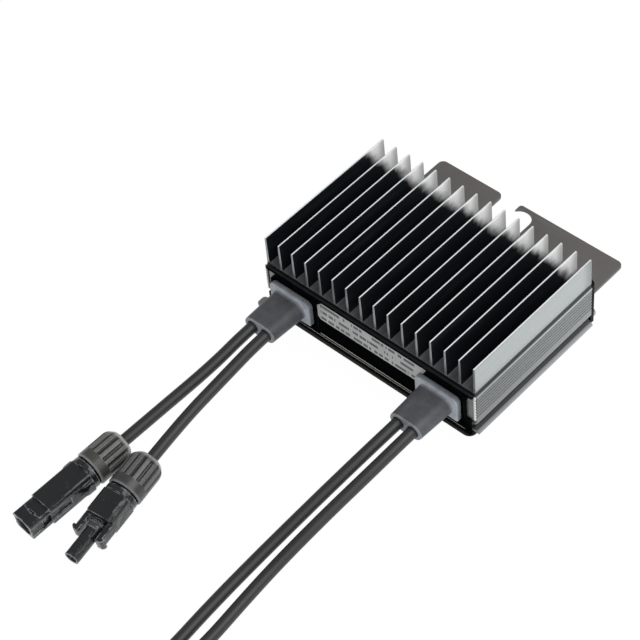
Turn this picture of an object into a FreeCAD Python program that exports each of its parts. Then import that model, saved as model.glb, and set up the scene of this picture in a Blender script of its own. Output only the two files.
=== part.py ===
import FreeCAD
import Part
import Sketcher
import math
import os

# Power optimizer: a finned aluminium heat sink closed from below by a moulded tray, on a
# steel plate with a bolt hook. Two double cable glands leave its front panel, and each of
# the four leads ends in a screwed solar connector.
#
# Frame: millimetres, +Z up. X runs across the fins and Y along them, and the front panel
# with the glands faces -Y. The origin is on the underside of the steel plate, under the
# middle of the fins.

V = FreeCAD.Vector
doc = FreeCAD.newDocument("PowerOptimizer")

# Driving dimensions

SIZES = {
    # Heat sink: an extrusion along Y
    "fin_count": 16,
    "fin_pitch": 8.45,
    "fin_tip": 1.1,
    "fin_root": 1.5,
    "fin_height": 16.7,
    "fin_rounding": 0.3,
    "sink_length": 83.6,
    "deck_thick": 3.0,
    "wall_thick": 2.6,
    "wall_height": 28.3,
    "wall_stand_out": 1.225,
    "step_depth": 0.7,
    "step_height": 1.9,
    "rib_count": 7,
    "rib_pitch": 2.04,
    "rib_depth": 0.6,
    "rib_first": 12.0,
    "waist_depth": 1.6,
    "waist_top": 7.2,
    "waist_upper": 5.2,
    "waist_lower": 3.1,
    "lip_flare": 0.9,
    "lip_thick": 0.9,
    "boss_width": 6.4,
    "boss_top": 8.6,
    "channel_radius": 1.7,
    "channel_inset": 3.5,
    "channel_height": 4.1,
    "channel_mouth": 1.8,
    # Steel plate under the body
    "plate_thick": 1.5,
    "plate_left": 63.8,
    "plate_right": 51.6,
    "plate_back": 84.5,
    "plate_front": 41.0,
    "plate_corner": 3.2,
    "plate_neck": 60.0,
    "gap_left": 23.5,
    "gap_right": 12.4,
    "gap_floor": 58.0,
    "hook_x": 7.1,
    "hook_y": 76.2,
    "hook_radius": 6.4,
    "hook_tip_drop": 1.9,
    "ear_reach": 7.6,
    "ear_front": 46.0,
    "ear_back": 40.0,
    "ear_corner": 1.8,
    # Moulded tray
    "tray_floor": 3.0,
    "tray_edge": 62.6,
    "tray_corner": 4.0,
    "tray_wall": 1.8,
    "tray_gap": 0.5,
    "seal_thick": 0.5,
    "lid_seal_thick": 0.6,
    "post_x": 34.0,
    "post_y": 31.0,
    "post_radius": 3.5,
    # Front and rear panels
    "end_plate_thick": 1.0,
    "end_plate_top": 31.2,
    "end_plate_bottom": 15.2,
    "bezel_thick": 1.3,
    "bezel_top": 32.9,
    "bezel_left": 60.2,
    "bezel_right": 59.8,
    "bezel_shoulder": 26.4,
    "bezel_slope": 3.8,
    "rim_height": 2.0,
    "cover_margin": 3.8,
    "field_depth": 0.5,
    "field_edge": 1.6,
    "field_corner": 2.6,
    "window_half": 31.4,
    "window_bottom": 8.1,
    "window_slant": 5.8,
    "ledge_height": 0.5,
    "window_top": 31.0,
    "window_depth": 0.4,
    "window_corner": 1.6,
    "label_height": 12.4,
    "label_margin": 0.6,
    "label_thick": 0.2,
    # Cable glands
    "input_gland_x": 46.4,
    "output_gland_x": 44.4,
    "gland_z": 19.1,
    "flange_width": 25.4,
    "flange_height": 15.0,
    "flange_thick": 2.6,
    "flange_corner": 3.0,
    "sleeve_length": 21.3,
    "sleeve_root_width": 20.2,
    "sleeve_root_height": 10.8,
    "sleeve_width": 18.6,
    "sleeve_height": 9.6,
    "sleeve_fillet": 1.1,
    "mouth_rounding": 0.5,
    "neck_width": 16.8,
    "neck_height": 9.2,
    "ridge": 1.0,
    "fit_gap": 0.1,
    # Leads
    "cable_diameter": 5.9,
    "cable_spacing": 8.5,
    "cable_depth": 14.0,
    "lead_exit": 5.0,
    "conductor_diameter": 3.0,
    # Circuit inside
    "board_width": 108.0,
    "board_length": 72.0,
    "board_thick": 1.6,
    "board_height": 23.5,
    "core_width": 34.0,
    "core_length": 24.0,
    "core_height": 15.0,
    "core_leg": 9.0,
    "core_yoke": 3.2,
    "winding_thick": 5.6,
    "capacitor_radius": 5.0,
    "capacitor_height": 14.5,
    "transistor_side": 9.0,
    "pad_thick": 1.0,
    "pad_width": 62.0,
    "pad_length": 18.0,
    "chip_side": 10.0,
    "chip_thick": 1.4,
    "terminal_width": 5.2,
    "terminal_length": 6.0,
    # Lead connectors, each along its own +X from the lead's entry
    "nut_length": 21.0,
    "nut_radius": 8.8,
    "nut_dome": 4.2,
    "nut_flutes": 14,
    "flute_depth": 0.9,
    "flute_width": 2.0,
    "flute_length": 14.5,
    "seal_radius": 6.2,
    "seal_start": 3.0,
    "seal_length": 6.4,
    "thread_radius": 7.3,
    "thread_gap": 0.15,
    "collar_radius": 8.2,
    "collar_length": 2.8,
    "socket_length": 60.0,
    "socket_width": 13.4,
    "socket_height": 12.4,
    "socket_front_width": 12.6,
    "socket_front_height": 10.8,
    "socket_front": 6.6,
    "socket_neck": 5.2,
    "socket_hollow": 0.8,
    "socket_bulge": 1.0,
    "socket_wall": 0.9,
    "socket_bore": 4.9,
    "socket_cavity": 3.9,
    "socket_rail": 0.5,
    "socket_corner": 1.8,
    "wing_height": 7.0,
    "plug_length": 58.8,
    "plug_body": 37.6,
    "plug_width": 15.0,
    "plug_height": 13.6,
    "plug_tube": 3.7,
    "plug_ring": 4.6,
    "plug_step": 1.2,
    "latch_length": 9.6,
    "latch_thick": 2.6,
    "latch_height": 6.4,
    "latch_offset": 5.0,
    "latch_barb": 1.2,
    "crimp_radius": 2.9,
    "crimp_start": 16.0,
    "crimp_length": 9.0,
    "pin_radius": 2.0,
    "pin_length": 24.0,
    "contact_radius": 2.6,
    # Coils of the two long output leads
    "coil_radius_a": 30.0,
    "coil_radius_b": 33.0,
    "coil_rows": 3,
    "coil_layers": 2,
    "coil_stub": 22.0,
    "coil_run_in": 21.0,
    "tail_straight": 4.0,
    "tail_reach": 20.0,
    "tail_nut_run": 8.0,
    # Fasteners
    "screw_radius": 1.5,
    "screw_head": 3.0,
    "screw_length": 8.0,
    "end_screw_head": 2.9,
    "end_screw_length": 14.0,
    "end_screw_cap": 1.7,
}

sheet = doc.addObject("Spreadsheet::Sheet", "Sizes")
for row, (alias, number) in enumerate(SIZES.items(), start=1):
    sheet.set(f"A{row}", alias)
    sheet.set(f"B{row}", str(number))
    sheet.setAlias(f"B{row}", alias)
doc.recompute()


class Size:
    """A length in millimetres together with the sheet formula that gives it."""

    def __init__(self, value, formula):
        self.value = float(value)
        self.formula = formula

    def __add__(self, other):
        other = as_size(other)
        return Size(self.value + other.value, f"({self.formula} + {other.formula})")

    def __sub__(self, other):
        other = as_size(other)
        return Size(self.value - other.value, f"({self.formula} - {other.formula})")

    def __mul__(self, other):
        other = as_size(other)
        return Size(self.value * other.value, f"({self.formula} * {other.formula})")

    def __truediv__(self, other):
        other = as_size(other)
        return Size(self.value / other.value, f"({self.formula} / {other.formula})")

    def __radd__(self, other):
        return as_size(other) + self

    def __rsub__(self, other):
        return as_size(other) - self

    def __rmul__(self, other):
        return as_size(other) * self

    def __neg__(self):
        return Size(-self.value, f"(-{self.formula})")


def as_size(number):
    """Give a plain number the same form as a size from the sheet."""
    if isinstance(number, Size):
        return number
    return Size(number, f"({float(number)!r})")


def size(alias):
    """Read one driving dimension."""
    return Size(sheet.get(alias), f"Sizes.{alias}")


# Heights and planes that several pieces share

PLATE_TOP = size("plate_thick")
SINK_BOTTOM = PLATE_TOP + size("tray_floor")
DECK_TOP = SINK_BOTTOM + size("wall_height")
DECK_UNDER = DECK_TOP - size("deck_thick")
FIN_SPAN = (size("fin_count") - 1) * size("fin_pitch")
HALF_WIDTH = FIN_SPAN / 2 + size("wall_stand_out")
HALF_LENGTH = size("sink_length") / 2
SEAL_FACE = HALF_LENGTH + size("seal_thick")
END_PLATE_FACE = SEAL_FACE + size("end_plate_thick")
BEZEL_FACE = END_PLATE_FACE + size("bezel_thick")
FIELD_FACE = BEZEL_FACE - size("field_depth")
WINDOW_FACE = FIELD_FACE - size("window_depth")
TRAY_HALF_WIDTH = HALF_WIDTH - size("boss_width") - size("tray_gap")
BOARD_TOP = size("board_height") + size("board_thick")
GLAND_Z = size("gland_z")
FLANGE_FACE = FIELD_FACE + size("flange_thick")
GLAND_MOUTH = FLANGE_FACE + size("sleeve_length")
LEAD_START = GLAND_MOUTH - size("cable_depth")
NECK_END = SEAL_FACE - size("tray_wall") - size("fit_gap") - size("ridge")
FIT = size("fit_gap")

# Shares that set a shape's outline inside its own size

ARC_SHARE = 0.45
GROOVE_SHARE = 0.36
BOW_SHARE = 0.75
FLUTE_TAPER = 0.8
COIL_ROUNDING = 0.45
DOME_PROFILE = ((0, 0.62), (0.28, 0.8), (0.7, 0.95), (1, 1))


# Helpers for sketches and features

def new_body(name):
    """Start a sub-part that is built up from sketches."""
    body = doc.addObject("PartDesign::Body", name)
    body.Label = name
    return body


def origin_of(body, role):
    """Find an origin plane or axis of a body."""
    return [part for part in body.Origin.OriginFeatures if part.Role == role][0]


def new_sketch(body, name, plane, offset=None):
    """Make a sketch on an origin plane, moved along the plane's normal by an offset."""
    sketch = body.newObject("Sketcher::SketchObject", name)
    sketch.AttachmentSupport = [(origin_of(body, plane), "")]
    sketch.MapMode = "FlatFace"
    if offset is not None:
        sketch.AttachmentOffset = FreeCAD.Placement(V(0, 0, offset.value), FreeCAD.Rotation())
        sketch.setExpression("AttachmentOffset.Base.z", offset.formula)
    return sketch


def pin_point(sketch, edge, end, x, y):
    """Hold one end of an edge at a place that the sheet's formulas give."""
    for kind, place, axis in (("DistanceX", x, -2), ("DistanceY", y, -1)):
        place = as_size(place)
        if abs(place.value) < 1e-9:
            sketch.addConstraint(Sketcher.Constraint("PointOnObject", edge, end, axis))
            continue
        index = sketch.addConstraint(
            Sketcher.Constraint(kind, -1, 1, edge, end, place.value))
        sketch.setExpression(f"Constraints[{index}]", place.formula)


def draw_outline(sketch, corners):
    """Draw a closed outline of straight edges through corners (x, y)."""
    first = sketch.GeometryCount
    count = len(corners)
    places = [V(as_size(x).value, as_size(y).value, 0) for x, y in corners]
    for index in range(count):
        sketch.addGeometry(Part.LineSegment(places[index], places[(index + 1) % count]), False)
    for index in range(count):
        follower = first + (index + 1) % count
        sketch.addConstraint(Sketcher.Constraint("Coincident", first + index, 2, follower, 1))
    for index, (x, y) in enumerate(corners):
        pin_point(sketch, first + index, 1, x, y)


def draw_circle(sketch, x, y, radius):
    """Draw a circle with a driven centre and radius."""
    centre = V(as_size(x).value, as_size(y).value, 0)
    edge = sketch.addGeometry(Part.Circle(centre, V(0, 0, 1), radius.value), False)
    pin_point(sketch, edge, 3, x, y)
    index = sketch.addConstraint(Sketcher.Constraint("Radius", edge, radius.value))
    sketch.setExpression(f"Constraints[{index}]", radius.formula)


def draw_slot(sketch, x, y, width, height):
    """Draw a slot with round ends, width across and height tall, about a centre."""
    radius = height / 2
    left = x - (width - height) / 2
    right = x + (width - height) / 2
    up = V(0, 0, 1)
    half_turn = math.pi / 2
    right_arc = sketch.addGeometry(Part.ArcOfCircle(
        Part.Circle(V(right.value, y.value, 0), up, radius.value), -half_turn, half_turn), False)
    left_arc = sketch.addGeometry(Part.ArcOfCircle(
        Part.Circle(V(left.value, y.value, 0), up, radius.value), half_turn, 3 * half_turn), False)
    top = y.value + radius.value
    low = y.value - radius.value
    top_edge = sketch.addGeometry(
        Part.LineSegment(V(right.value, top, 0), V(left.value, top, 0)), False)
    low_edge = sketch.addGeometry(
        Part.LineSegment(V(left.value, low, 0), V(right.value, low, 0)), False)
    for arc, end, line, line_end in ((right_arc, 2, top_edge, 1), (left_arc, 1, top_edge, 2),
                                     (left_arc, 2, low_edge, 1), (right_arc, 1, low_edge, 2)):
        sketch.addConstraint(Sketcher.Constraint("Tangent", arc, end, line, line_end))
    pin_point(sketch, right_arc, 3, right, y)
    pin_point(sketch, left_arc, 3, left, y)
    sketch.addConstraint(Sketcher.Constraint("Equal", right_arc, left_arc))
    index = sketch.addConstraint(Sketcher.Constraint("Radius", right_arc, radius.value))
    sketch.setExpression(f"Constraints[{index}]", radius.formula)


def draw_rounded(sketch, left, right, low, high, radius):
    """Draw a rectangle whose four corners are rounded alike."""
    quarter = math.pi / 2
    up = V(0, 0, 1)
    reach = radius.value
    centres = [(right - radius, low + radius), (right - radius, high - radius),
               (left + radius, high - radius), (left + radius, low + radius)]
    starts = [-quarter, 0, quarter, 2 * quarter]
    arcs = []
    for (x, y), turn in zip(centres, starts):
        circle = Part.Circle(V(x.value, y.value, 0), up, reach)
        arcs.append(sketch.addGeometry(Part.ArcOfCircle(circle, turn, turn + quarter), False))
    for index in range(4):
        follower = (index + 1) % 4
        ends = []
        for place, turn in ((index, starts[index] + quarter), (follower, starts[follower])):
            x, y = centres[place]
            ends.append(V(x.value + reach * math.cos(turn), y.value + reach * math.sin(turn), 0))
        side = sketch.addGeometry(Part.LineSegment(*ends), False)
        sketch.addConstraint(Sketcher.Constraint("Tangent", arcs[index], 2, side, 1))
        sketch.addConstraint(Sketcher.Constraint("Tangent", side, 2, arcs[follower], 1))
    for arc, (x, y) in zip(arcs, centres):
        pin_point(sketch, arc, 3, x, y)
    for arc in arcs[1:]:
        sketch.addConstraint(Sketcher.Constraint("Equal", arcs[0], arc))
    index = sketch.addConstraint(Sketcher.Constraint("Radius", arcs[0], reach))
    sketch.setExpression(f"Constraints[{index}]", radius.formula)


def pad(body, sketch, length, reverse=False, symmetric=False):
    """Grow a sketch into a solid along its normal."""
    feature = body.newObject("PartDesign::Pad", f"{sketch.Name}_pad")
    feature.Profile = sketch
    feature.Length = length.value
    feature.setExpression("Length", length.formula)
    feature.Reversed = reverse
    if symmetric:
        feature.SideType = "Symmetric"
    body.Tip = feature
    return feature


def pocket(body, sketch, length=None, reverse=False, symmetric=False):
    """Cut a sketch out of the solid, right through when no length is given."""
    feature = body.newObject("PartDesign::Pocket", f"{sketch.Name}_cut")
    feature.Profile = sketch
    if symmetric:
        feature.SideType = "Symmetric"
    feature.Reversed = reverse
    if length is None:
        feature.Type = "ThroughAll"
    else:
        feature.Length = length.value
        feature.setExpression("Length", length.formula)
    body.Tip = feature
    return feature


def revolve(body, sketch, role):
    """Turn a half section once round an origin axis."""
    feature = body.newObject("PartDesign::Revolution", f"{sketch.Name}_turn")
    feature.Profile = sketch
    feature.ReferenceAxis = (origin_of(body, role), [""])
    feature.Angle = 360
    body.Tip = feature
    return feature


def repeat_along(body, feature, role, span, count):
    """Repeat a feature along an origin axis over a span."""
    pattern = body.newObject("PartDesign::LinearPattern", f"{feature.Name}_row")
    pattern.Originals = [feature]
    pattern.Direction = (origin_of(body, role), [""])
    pattern.Length = span.value
    pattern.setExpression("Length", span.formula)
    pattern.Occurrences = int(count.value)
    pattern.setExpression("Occurrences", count.formula)
    body.Tip = pattern
    return pattern


def repeat_round(body, feature, role, count):
    """Repeat a feature round an origin axis."""
    pattern = body.newObject("PartDesign::PolarPattern", f"{feature.Name}_ring")
    pattern.Originals = [feature]
    pattern.Axis = (origin_of(body, role), [""])
    pattern.Angle = 360
    pattern.Occurrences = int(count.value)
    pattern.setExpression("Occurrences", count.formula)
    body.Tip = pattern
    return pattern


def round_edges(body, name, radius, chosen):
    """Round the edges of the body's present shape that a test picks."""
    doc.recompute()
    base = body.Tip
    names = [f"Edge{index}" for index, edge in enumerate(base.Shape.Edges, start=1)
             if chosen(edge)]
    feature = body.newObject("PartDesign::Fillet", name)
    feature.Base = (base, names)
    feature.Radius = radius.value
    feature.setExpression("Radius", radius.formula)
    body.Tip = feature
    return feature


def runs_along(edge, axis):
    """Tell whether an edge is straight and parallel to an axis (0 for X, 1 for Y, 2 for Z)."""
    if edge.Curve.TypeId != "Part::GeomLine":
        return False
    direction = edge.tangentAt(edge.FirstParameter)
    return abs(direction[axis]) > 0.999


def rectangle(left, right, low, high):
    """Give the four corners of a rectangle, counterclockwise."""
    return [(left, low), (right, low), (right, high), (left, high)]


def gland_place(side):
    """Give the middle of a gland: the input's on the left, the output's on the right."""
    return -size("input_gland_x") if side < 0 else size("output_gland_x")


def bind_place(item, x, y, z):
    """Place a primitive at driven coordinates."""
    x, y, z = as_size(x), as_size(y), as_size(z)
    item.Placement = FreeCAD.Placement(V(x.value, y.value, z.value), item.Placement.Rotation)
    item.setExpression("Placement.Base.x", x.formula)
    item.setExpression("Placement.Base.y", y.formula)
    item.setExpression("Placement.Base.z", z.formula)


def new_box(name, x, y, z, width, length, height):
    """Make a box with its low corner at x, y, z."""
    item = doc.addObject("Part::Box", name)
    item.Label = name
    for prop, number in (("Length", width), ("Width", length), ("Height", height)):
        number = as_size(number)
        setattr(item, prop, number.value)
        item.setExpression(prop, number.formula)
    bind_place(item, x, y, z)
    return item


TURN_TO = {
    "+x": FreeCAD.Rotation(V(0, 1, 0), 90),
    "+y": FreeCAD.Rotation(V(1, 0, 0), -90),
    "-y": FreeCAD.Rotation(V(1, 0, 0), 90),
    "+z": FreeCAD.Rotation(),
}


def new_cylinder(name, x, y, z, radius, height, direction="+z"):
    """Make a round bar that starts at x, y, z and runs in a direction."""
    item = doc.addObject("Part::Cylinder", name)
    item.Label = name
    for prop, number in (("Radius", radius), ("Height", height)):
        number = as_size(number)
        setattr(item, prop, number.value)
        item.setExpression(prop, number.formula)
    item.Placement = FreeCAD.Placement(V(), TURN_TO[direction])
    bind_place(item, x, y, z)
    return item


def new_cone(name, x, y, z, low_radius, high_radius, height):
    """Make an upright cone that starts at x, y, z."""
    item = doc.addObject("Part::Cone", name)
    item.Label = name
    for prop, number in (("Radius1", low_radius), ("Radius2", high_radius), ("Height", height)):
        number = as_size(number)
        setattr(item, prop, number.value)
        item.setExpression(prop, number.formula)
    bind_place(item, x, y, z)
    return item


def new_fuse(name, shapes):
    """Join solids into one."""
    item = doc.addObject("Part::MultiFuse", name)
    item.Label = name
    item.Shapes = shapes
    return item


def new_cut(name, base, tool):
    """Take one solid out of another."""
    item = doc.addObject("Part::Cut", name)
    item.Label = name
    item.Base = base
    item.Tool = tool
    return item


def new_group(name, shapes):
    """Keep identical separate solids together under one name."""
    item = doc.addObject("Part::Compound", name)
    item.Label = name
    item.Links = shapes
    return item


# Heat sink

def heat_sink():
    """Extruded channel with fins on its deck, ribbed side walls and open screw channels."""
    body = new_body("heat_sink")
    wall = HALF_WIDTH
    step = wall - size("step_depth")
    inside = wall - size("wall_thick")
    boss = wall - size("boss_width")
    waist = wall - size("waist_depth")
    lip = wall + size("lip_flare")
    bottom = SINK_BOTTOM
    boss_top = bottom + size("boss_top")
    step_low = DECK_TOP - size("step_height")
    right = [
        (boss, bottom),
        (lip, bottom),
        (lip, bottom + size("lip_thick")),
        (waist, bottom + size("waist_lower")),
        (waist, bottom + size("waist_upper")),
        (wall, bottom + size("waist_top")),
        (wall, step_low),
        (step, step_low + size("step_depth") / 2),
        (step, DECK_TOP),
    ]
    left = [(-x, z) for x, z in reversed(right)]
    ceiling = [
        (-boss, boss_top - size("wall_thick")),
        (-inside, boss_top),
        (-inside, DECK_UNDER),
        (inside, DECK_UNDER),
        (inside, boss_top),
        (boss, boss_top - size("wall_thick")),
    ]
    section = new_sketch(body, "sink_section", "XZ_Plane")
    draw_outline(section, right + left + ceiling)
    pad(body, section, size("sink_length"), symmetric=True)

    fin = new_sketch(body, "fin_section", "XZ_Plane")
    centre = -FIN_SPAN / 2
    root = size("fin_root") / 2
    tip = size("fin_tip") / 2
    top = DECK_TOP + size("fin_height")
    soft = size("fin_rounding")
    draw_outline(fin, [
        (centre - root, DECK_TOP - soft),
        (centre + root, DECK_TOP - soft),
        (centre + tip, top - soft),
        (centre + tip - soft, top),
        (centre - tip + soft, top),
        (centre - tip, top - soft),
    ])
    fin_pad = pad(body, fin, size("sink_length"), symmetric=True)
    repeat_along(body, fin_pad, "X_Axis", FIN_SPAN, size("fin_count"))

    groove = new_sketch(body, "rib_groove", "XZ_Plane")
    z = bottom + size("rib_first")
    half = size("rib_pitch") * GROOVE_SHARE
    outside = wall + FIT
    for side in (1, -1):
        draw_outline(groove, [
            (side * outside, z - half),
            (side * outside, z + half),
            (side * (wall - size("rib_depth")), z),
        ])
    groove_cut = pocket(body, groove, symmetric=True)
    repeat_along(body, groove_cut, "Z_Axis",
                 (size("rib_count") - 1) * size("rib_pitch"), size("rib_count"))

    channel = new_sketch(body, "screw_channel", "XZ_Plane")
    mouth = size("channel_mouth") / 2
    z = bottom + size("channel_height")
    for side in (1, -1):
        draw_circle(channel, side * (wall - size("channel_inset")), z, size("channel_radius"))
    pocket(body, channel, symmetric=True)
    slit = new_sketch(body, "channel_slit", "XZ_Plane")
    for side in (1, -1):
        draw_outline(slit, [
            (side * (wall - size("channel_inset")), z - mouth),
            (side * outside, z - mouth),
            (side * outside, z + mouth),
            (side * (wall - size("channel_inset")), z + mouth),
        ])
    pocket(body, slit, symmetric=True)
    return body


# Steel plate with the bolt hook

def mounting_plate():
    """Flat steel plate: two tabs behind the body, a bolt hook between them and a front ear."""
    body = new_body("mounting_plate")
    back = size("plate_back")
    left = -size("plate_left")
    right = size("plate_right")
    ear_left = left - size("ear_reach")
    hook_x = -size("hook_x")
    slot_right = hook_x + size("hook_radius")
    tip_y = size("hook_y") + size("hook_tip_drop")
    plate = new_sketch(body, "plate_outline", "XY_Plane")
    draw_outline(plate, [
        (ear_left, -size("ear_front")),
        (-size("plate_neck") + size("ear_corner"), -size("ear_front")),
        (-size("plate_neck") + size("ear_corner"), -size("plate_front")),
        (right, -size("plate_front")),
        (right, back),
        (-size("gap_right"), back),
        (-size("gap_right"), tip_y),
        (hook_x, tip_y),
        (hook_x, size("gap_floor")),
        (-size("gap_left"), size("gap_floor")),
        (-size("gap_left"), back),
        (left, back),
        (left, -size("ear_back")),
        (ear_left, -size("ear_back")),
    ])
    pad(body, plate, size("plate_thick"))
    seat = new_sketch(body, "hook_seat", "XY_Plane")
    draw_circle(seat, hook_x, size("hook_y"), size("hook_radius"))
    pocket(body, seat, size("plate_thick"), reverse=True)
    slot = new_sketch(body, "hook_slot", "XY_Plane")
    draw_outline(slot, rectangle(hook_x - FIT, slot_right, size("gap_floor"), size("hook_y")))
    pocket(body, slot, size("plate_thick"), reverse=True)

    def corner(edge, places):
        middle = edge.CenterOfMass
        return runs_along(edge, 2) and any(
            math.hypot(middle.x - x.value, middle.y - y.value) < 0.01 for x, y in places)

    outer = [(left, back), (-size("gap_left"), back), (right, back),
             (-size("gap_left"), size("gap_floor"))]
    ear = [(ear_left, -size("ear_front")), (ear_left, -size("ear_back"))]
    nose = [(-size("gap_right"), back)]
    round_edges(body, "plate_corners", size("plate_corner"), lambda edge: corner(edge, outer))
    round_edges(body, "ear_corners", size("ear_corner"), lambda edge: corner(edge, ear))
    round_edges(body, "hook_nose", size("plate_corner") / 2, lambda edge: corner(edge, nose))
    holes = new_sketch(body, "plate_holes", "XY_Plane")
    for x in (1, -1):
        for y in (1, -1):
            draw_circle(holes, x * size("post_x"), y * size("post_y"), size("screw_radius") + FIT)
    pocket(body, holes, size("plate_thick"), reverse=True)
    return body


def countersunk_plate(plate):
    """Open the plate's four screw holes into cones for flush heads."""
    shapes = []
    for x in (1, -1):
        for y in (1, -1):
            index = len(shapes) + 1
            shapes.append(new_cone(
                f"plate_cone_{index}", x * size("post_x"), y * size("post_y"), 0,
                size("screw_head") + FIT, size("screw_radius") + FIT, size("plate_thick")))
    cones = new_group("plate_cones", shapes)
    plate.Label = "plate_blank"
    return new_cut("mounting_plate", plate, cones)


def plate_screws():
    """Four flush screws that hold the plate to the tray's posts."""
    screws = []
    for x in (1, -1):
        for y in (1, -1):
            index = len(screws) + 1
            place = (x * size("post_x"), y * size("post_y"))
            head = new_cone(f"plate_screw_head_{index}", *place, 0,
                            size("screw_head"), size("screw_radius"), size("plate_thick"))
            shank = new_cylinder(f"plate_screw_shank_{index}", *place, 0,
                                 size("screw_radius"), size("screw_length"))
            screws.append(new_fuse(f"plate_screw_{index}", [head, shank]))
    return new_group("plate_screws", screws)


# Tray, seals and panels

def housing_tray():
    """Moulded tray: a floor that carries the heat sink's edges, four walls and four posts."""
    body = new_body("housing_tray")
    edge = size("tray_edge")
    floor = new_sketch(body, "tray_floor_outline", "XY_Plane", PLATE_TOP)
    draw_outline(floor, rectangle(-edge, edge, -BEZEL_FACE, BEZEL_FACE))
    pad(body, floor, size("tray_floor"))
    round_edges(body, "tray_corners", size("tray_corner"), lambda line: runs_along(line, 2))
    top = DECK_UNDER - size("lid_seal_thick")
    wide = TRAY_HALF_WIDTH
    deep = SEAL_FACE
    walls = new_sketch(body, "tray_walls", "XY_Plane", SINK_BOTTOM)
    draw_outline(walls, rectangle(-wide, wide, -deep, deep))
    inner = size("tray_wall")
    draw_outline(walls, rectangle(inner - wide, wide - inner, inner - deep, deep - inner))
    pad(body, walls, top - SINK_BOTTOM)
    posts = new_sketch(body, "tray_posts", "XY_Plane", SINK_BOTTOM)
    for x in (1, -1):
        for y in (1, -1):
            draw_circle(posts, x * size("post_x"), y * size("post_y"), size("post_radius"))
    pad(body, posts, size("board_height") - SINK_BOTTOM)
    bores = new_sketch(body, "post_bores", "XY_Plane", PLATE_TOP)
    for x in (1, -1):
        for y in (1, -1):
            draw_circle(bores, x * size("post_x"), y * size("post_y"), size("screw_radius"))
    pocket(body, bores, size("screw_length") - PLATE_TOP, reverse=True)
    necks = new_sketch(body, "tray_neck_holes", "XZ_Plane", SEAL_FACE + FIT)
    for side in (1, -1):
        draw_slot(necks, gland_place(side), GLAND_Z,
                  size("neck_width") + 2 * FIT, size("neck_height") + 2 * FIT)
    pocket(body, necks, size("tray_wall") + 2 * FIT)
    return body


def end_seal(name, front):
    """Soft frame between an end of the heat sink and its panel."""
    body = new_body(name)
    sketch = new_sketch(body, f"{name}_outline", "XZ_Plane", SEAL_FACE if front else -HALF_LENGTH)
    edge = HALF_WIDTH - size("step_depth") - 2 * FIT
    draw_outline(sketch, rectangle(-edge, edge, size("end_plate_bottom"), DECK_TOP - FIT))
    wide = TRAY_HALF_WIDTH + FIT
    low = size("end_plate_bottom")
    top = DECK_UNDER + FIT
    pad(body, sketch, size("seal_thick"), reverse=True)
    hollow = new_sketch(body, f"{name}_hollow", "XZ_Plane", SEAL_FACE if front else -HALF_LENGTH)
    draw_outline(hollow, rectangle(-wide, wide, low - FIT, top))
    pocket(body, hollow, size("seal_thick"))
    return body


def front_end_plate():
    """Aluminium plate across the front, with edges cut to the side ribs and gland holes."""
    body = new_body("front_end_plate")
    edge = HALF_WIDTH
    low = size("end_plate_bottom")
    high = size("end_plate_top")
    neck = TRAY_HALF_WIDTH
    foot = SINK_BOTTOM
    shape = new_sketch(body, "end_plate_outline", "XZ_Plane", END_PLATE_FACE)
    draw_outline(shape, [
        (-neck, foot), (neck, foot), (neck, low), (edge, low), (edge, high),
        (-edge, high), (-edge, low), (-neck, low),
    ])
    pad(body, shape, size("end_plate_thick"), reverse=True)
    teeth = new_sketch(body, "edge_tooth", "XZ_Plane", END_PLATE_FACE)
    z = SINK_BOTTOM + size("rib_first")
    half = size("rib_pitch") * GROOVE_SHARE
    for side in (1, -1):
        draw_outline(teeth, [
            (side * (edge + FIT), z - half),
            (side * (edge + FIT), z + half),
            (side * (edge - size("rib_depth")), z),
        ])
    tooth = pocket(body, teeth, size("end_plate_thick"))
    repeat_along(body, tooth, "Z_Axis",
                 (size("rib_count") - 1) * size("rib_pitch"), size("rib_count"))
    holes = new_sketch(body, "end_plate_gland_holes", "XZ_Plane", END_PLATE_FACE)
    for side in (1, -1):
        draw_slot(holes, gland_place(side), GLAND_Z,
                  size("neck_width") + 2 * FIT, size("neck_height") + 2 * FIT)
    pocket(body, holes, size("end_plate_thick"))
    slot = new_sketch(body, "end_plate_slot", "XZ_Plane", END_PLATE_FACE)
    slit = size("end_plate_thick")
    x = -edge + size("rib_depth") + slit
    draw_outline(slot, rectangle(x, x + slit, low + slit, high - 2 * slit))
    pocket(body, slot, size("end_plate_thick"))
    return body


def window_outline(low, inset):
    """Give the corners of the label's window, which slants along the output gland."""
    half = size("window_half") - inset
    high = size("window_top") - inset
    corner = size("window_corner")
    slant = size("window_slant")
    low += inset
    return [(-half + corner, low), (half - corner, low), (half, low + corner),
            (half, high - 2 * slant), (half + slant, high), (corner * 2 - half, high),
            (-half, high - corner * 2), (-half, low + corner)]


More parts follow.
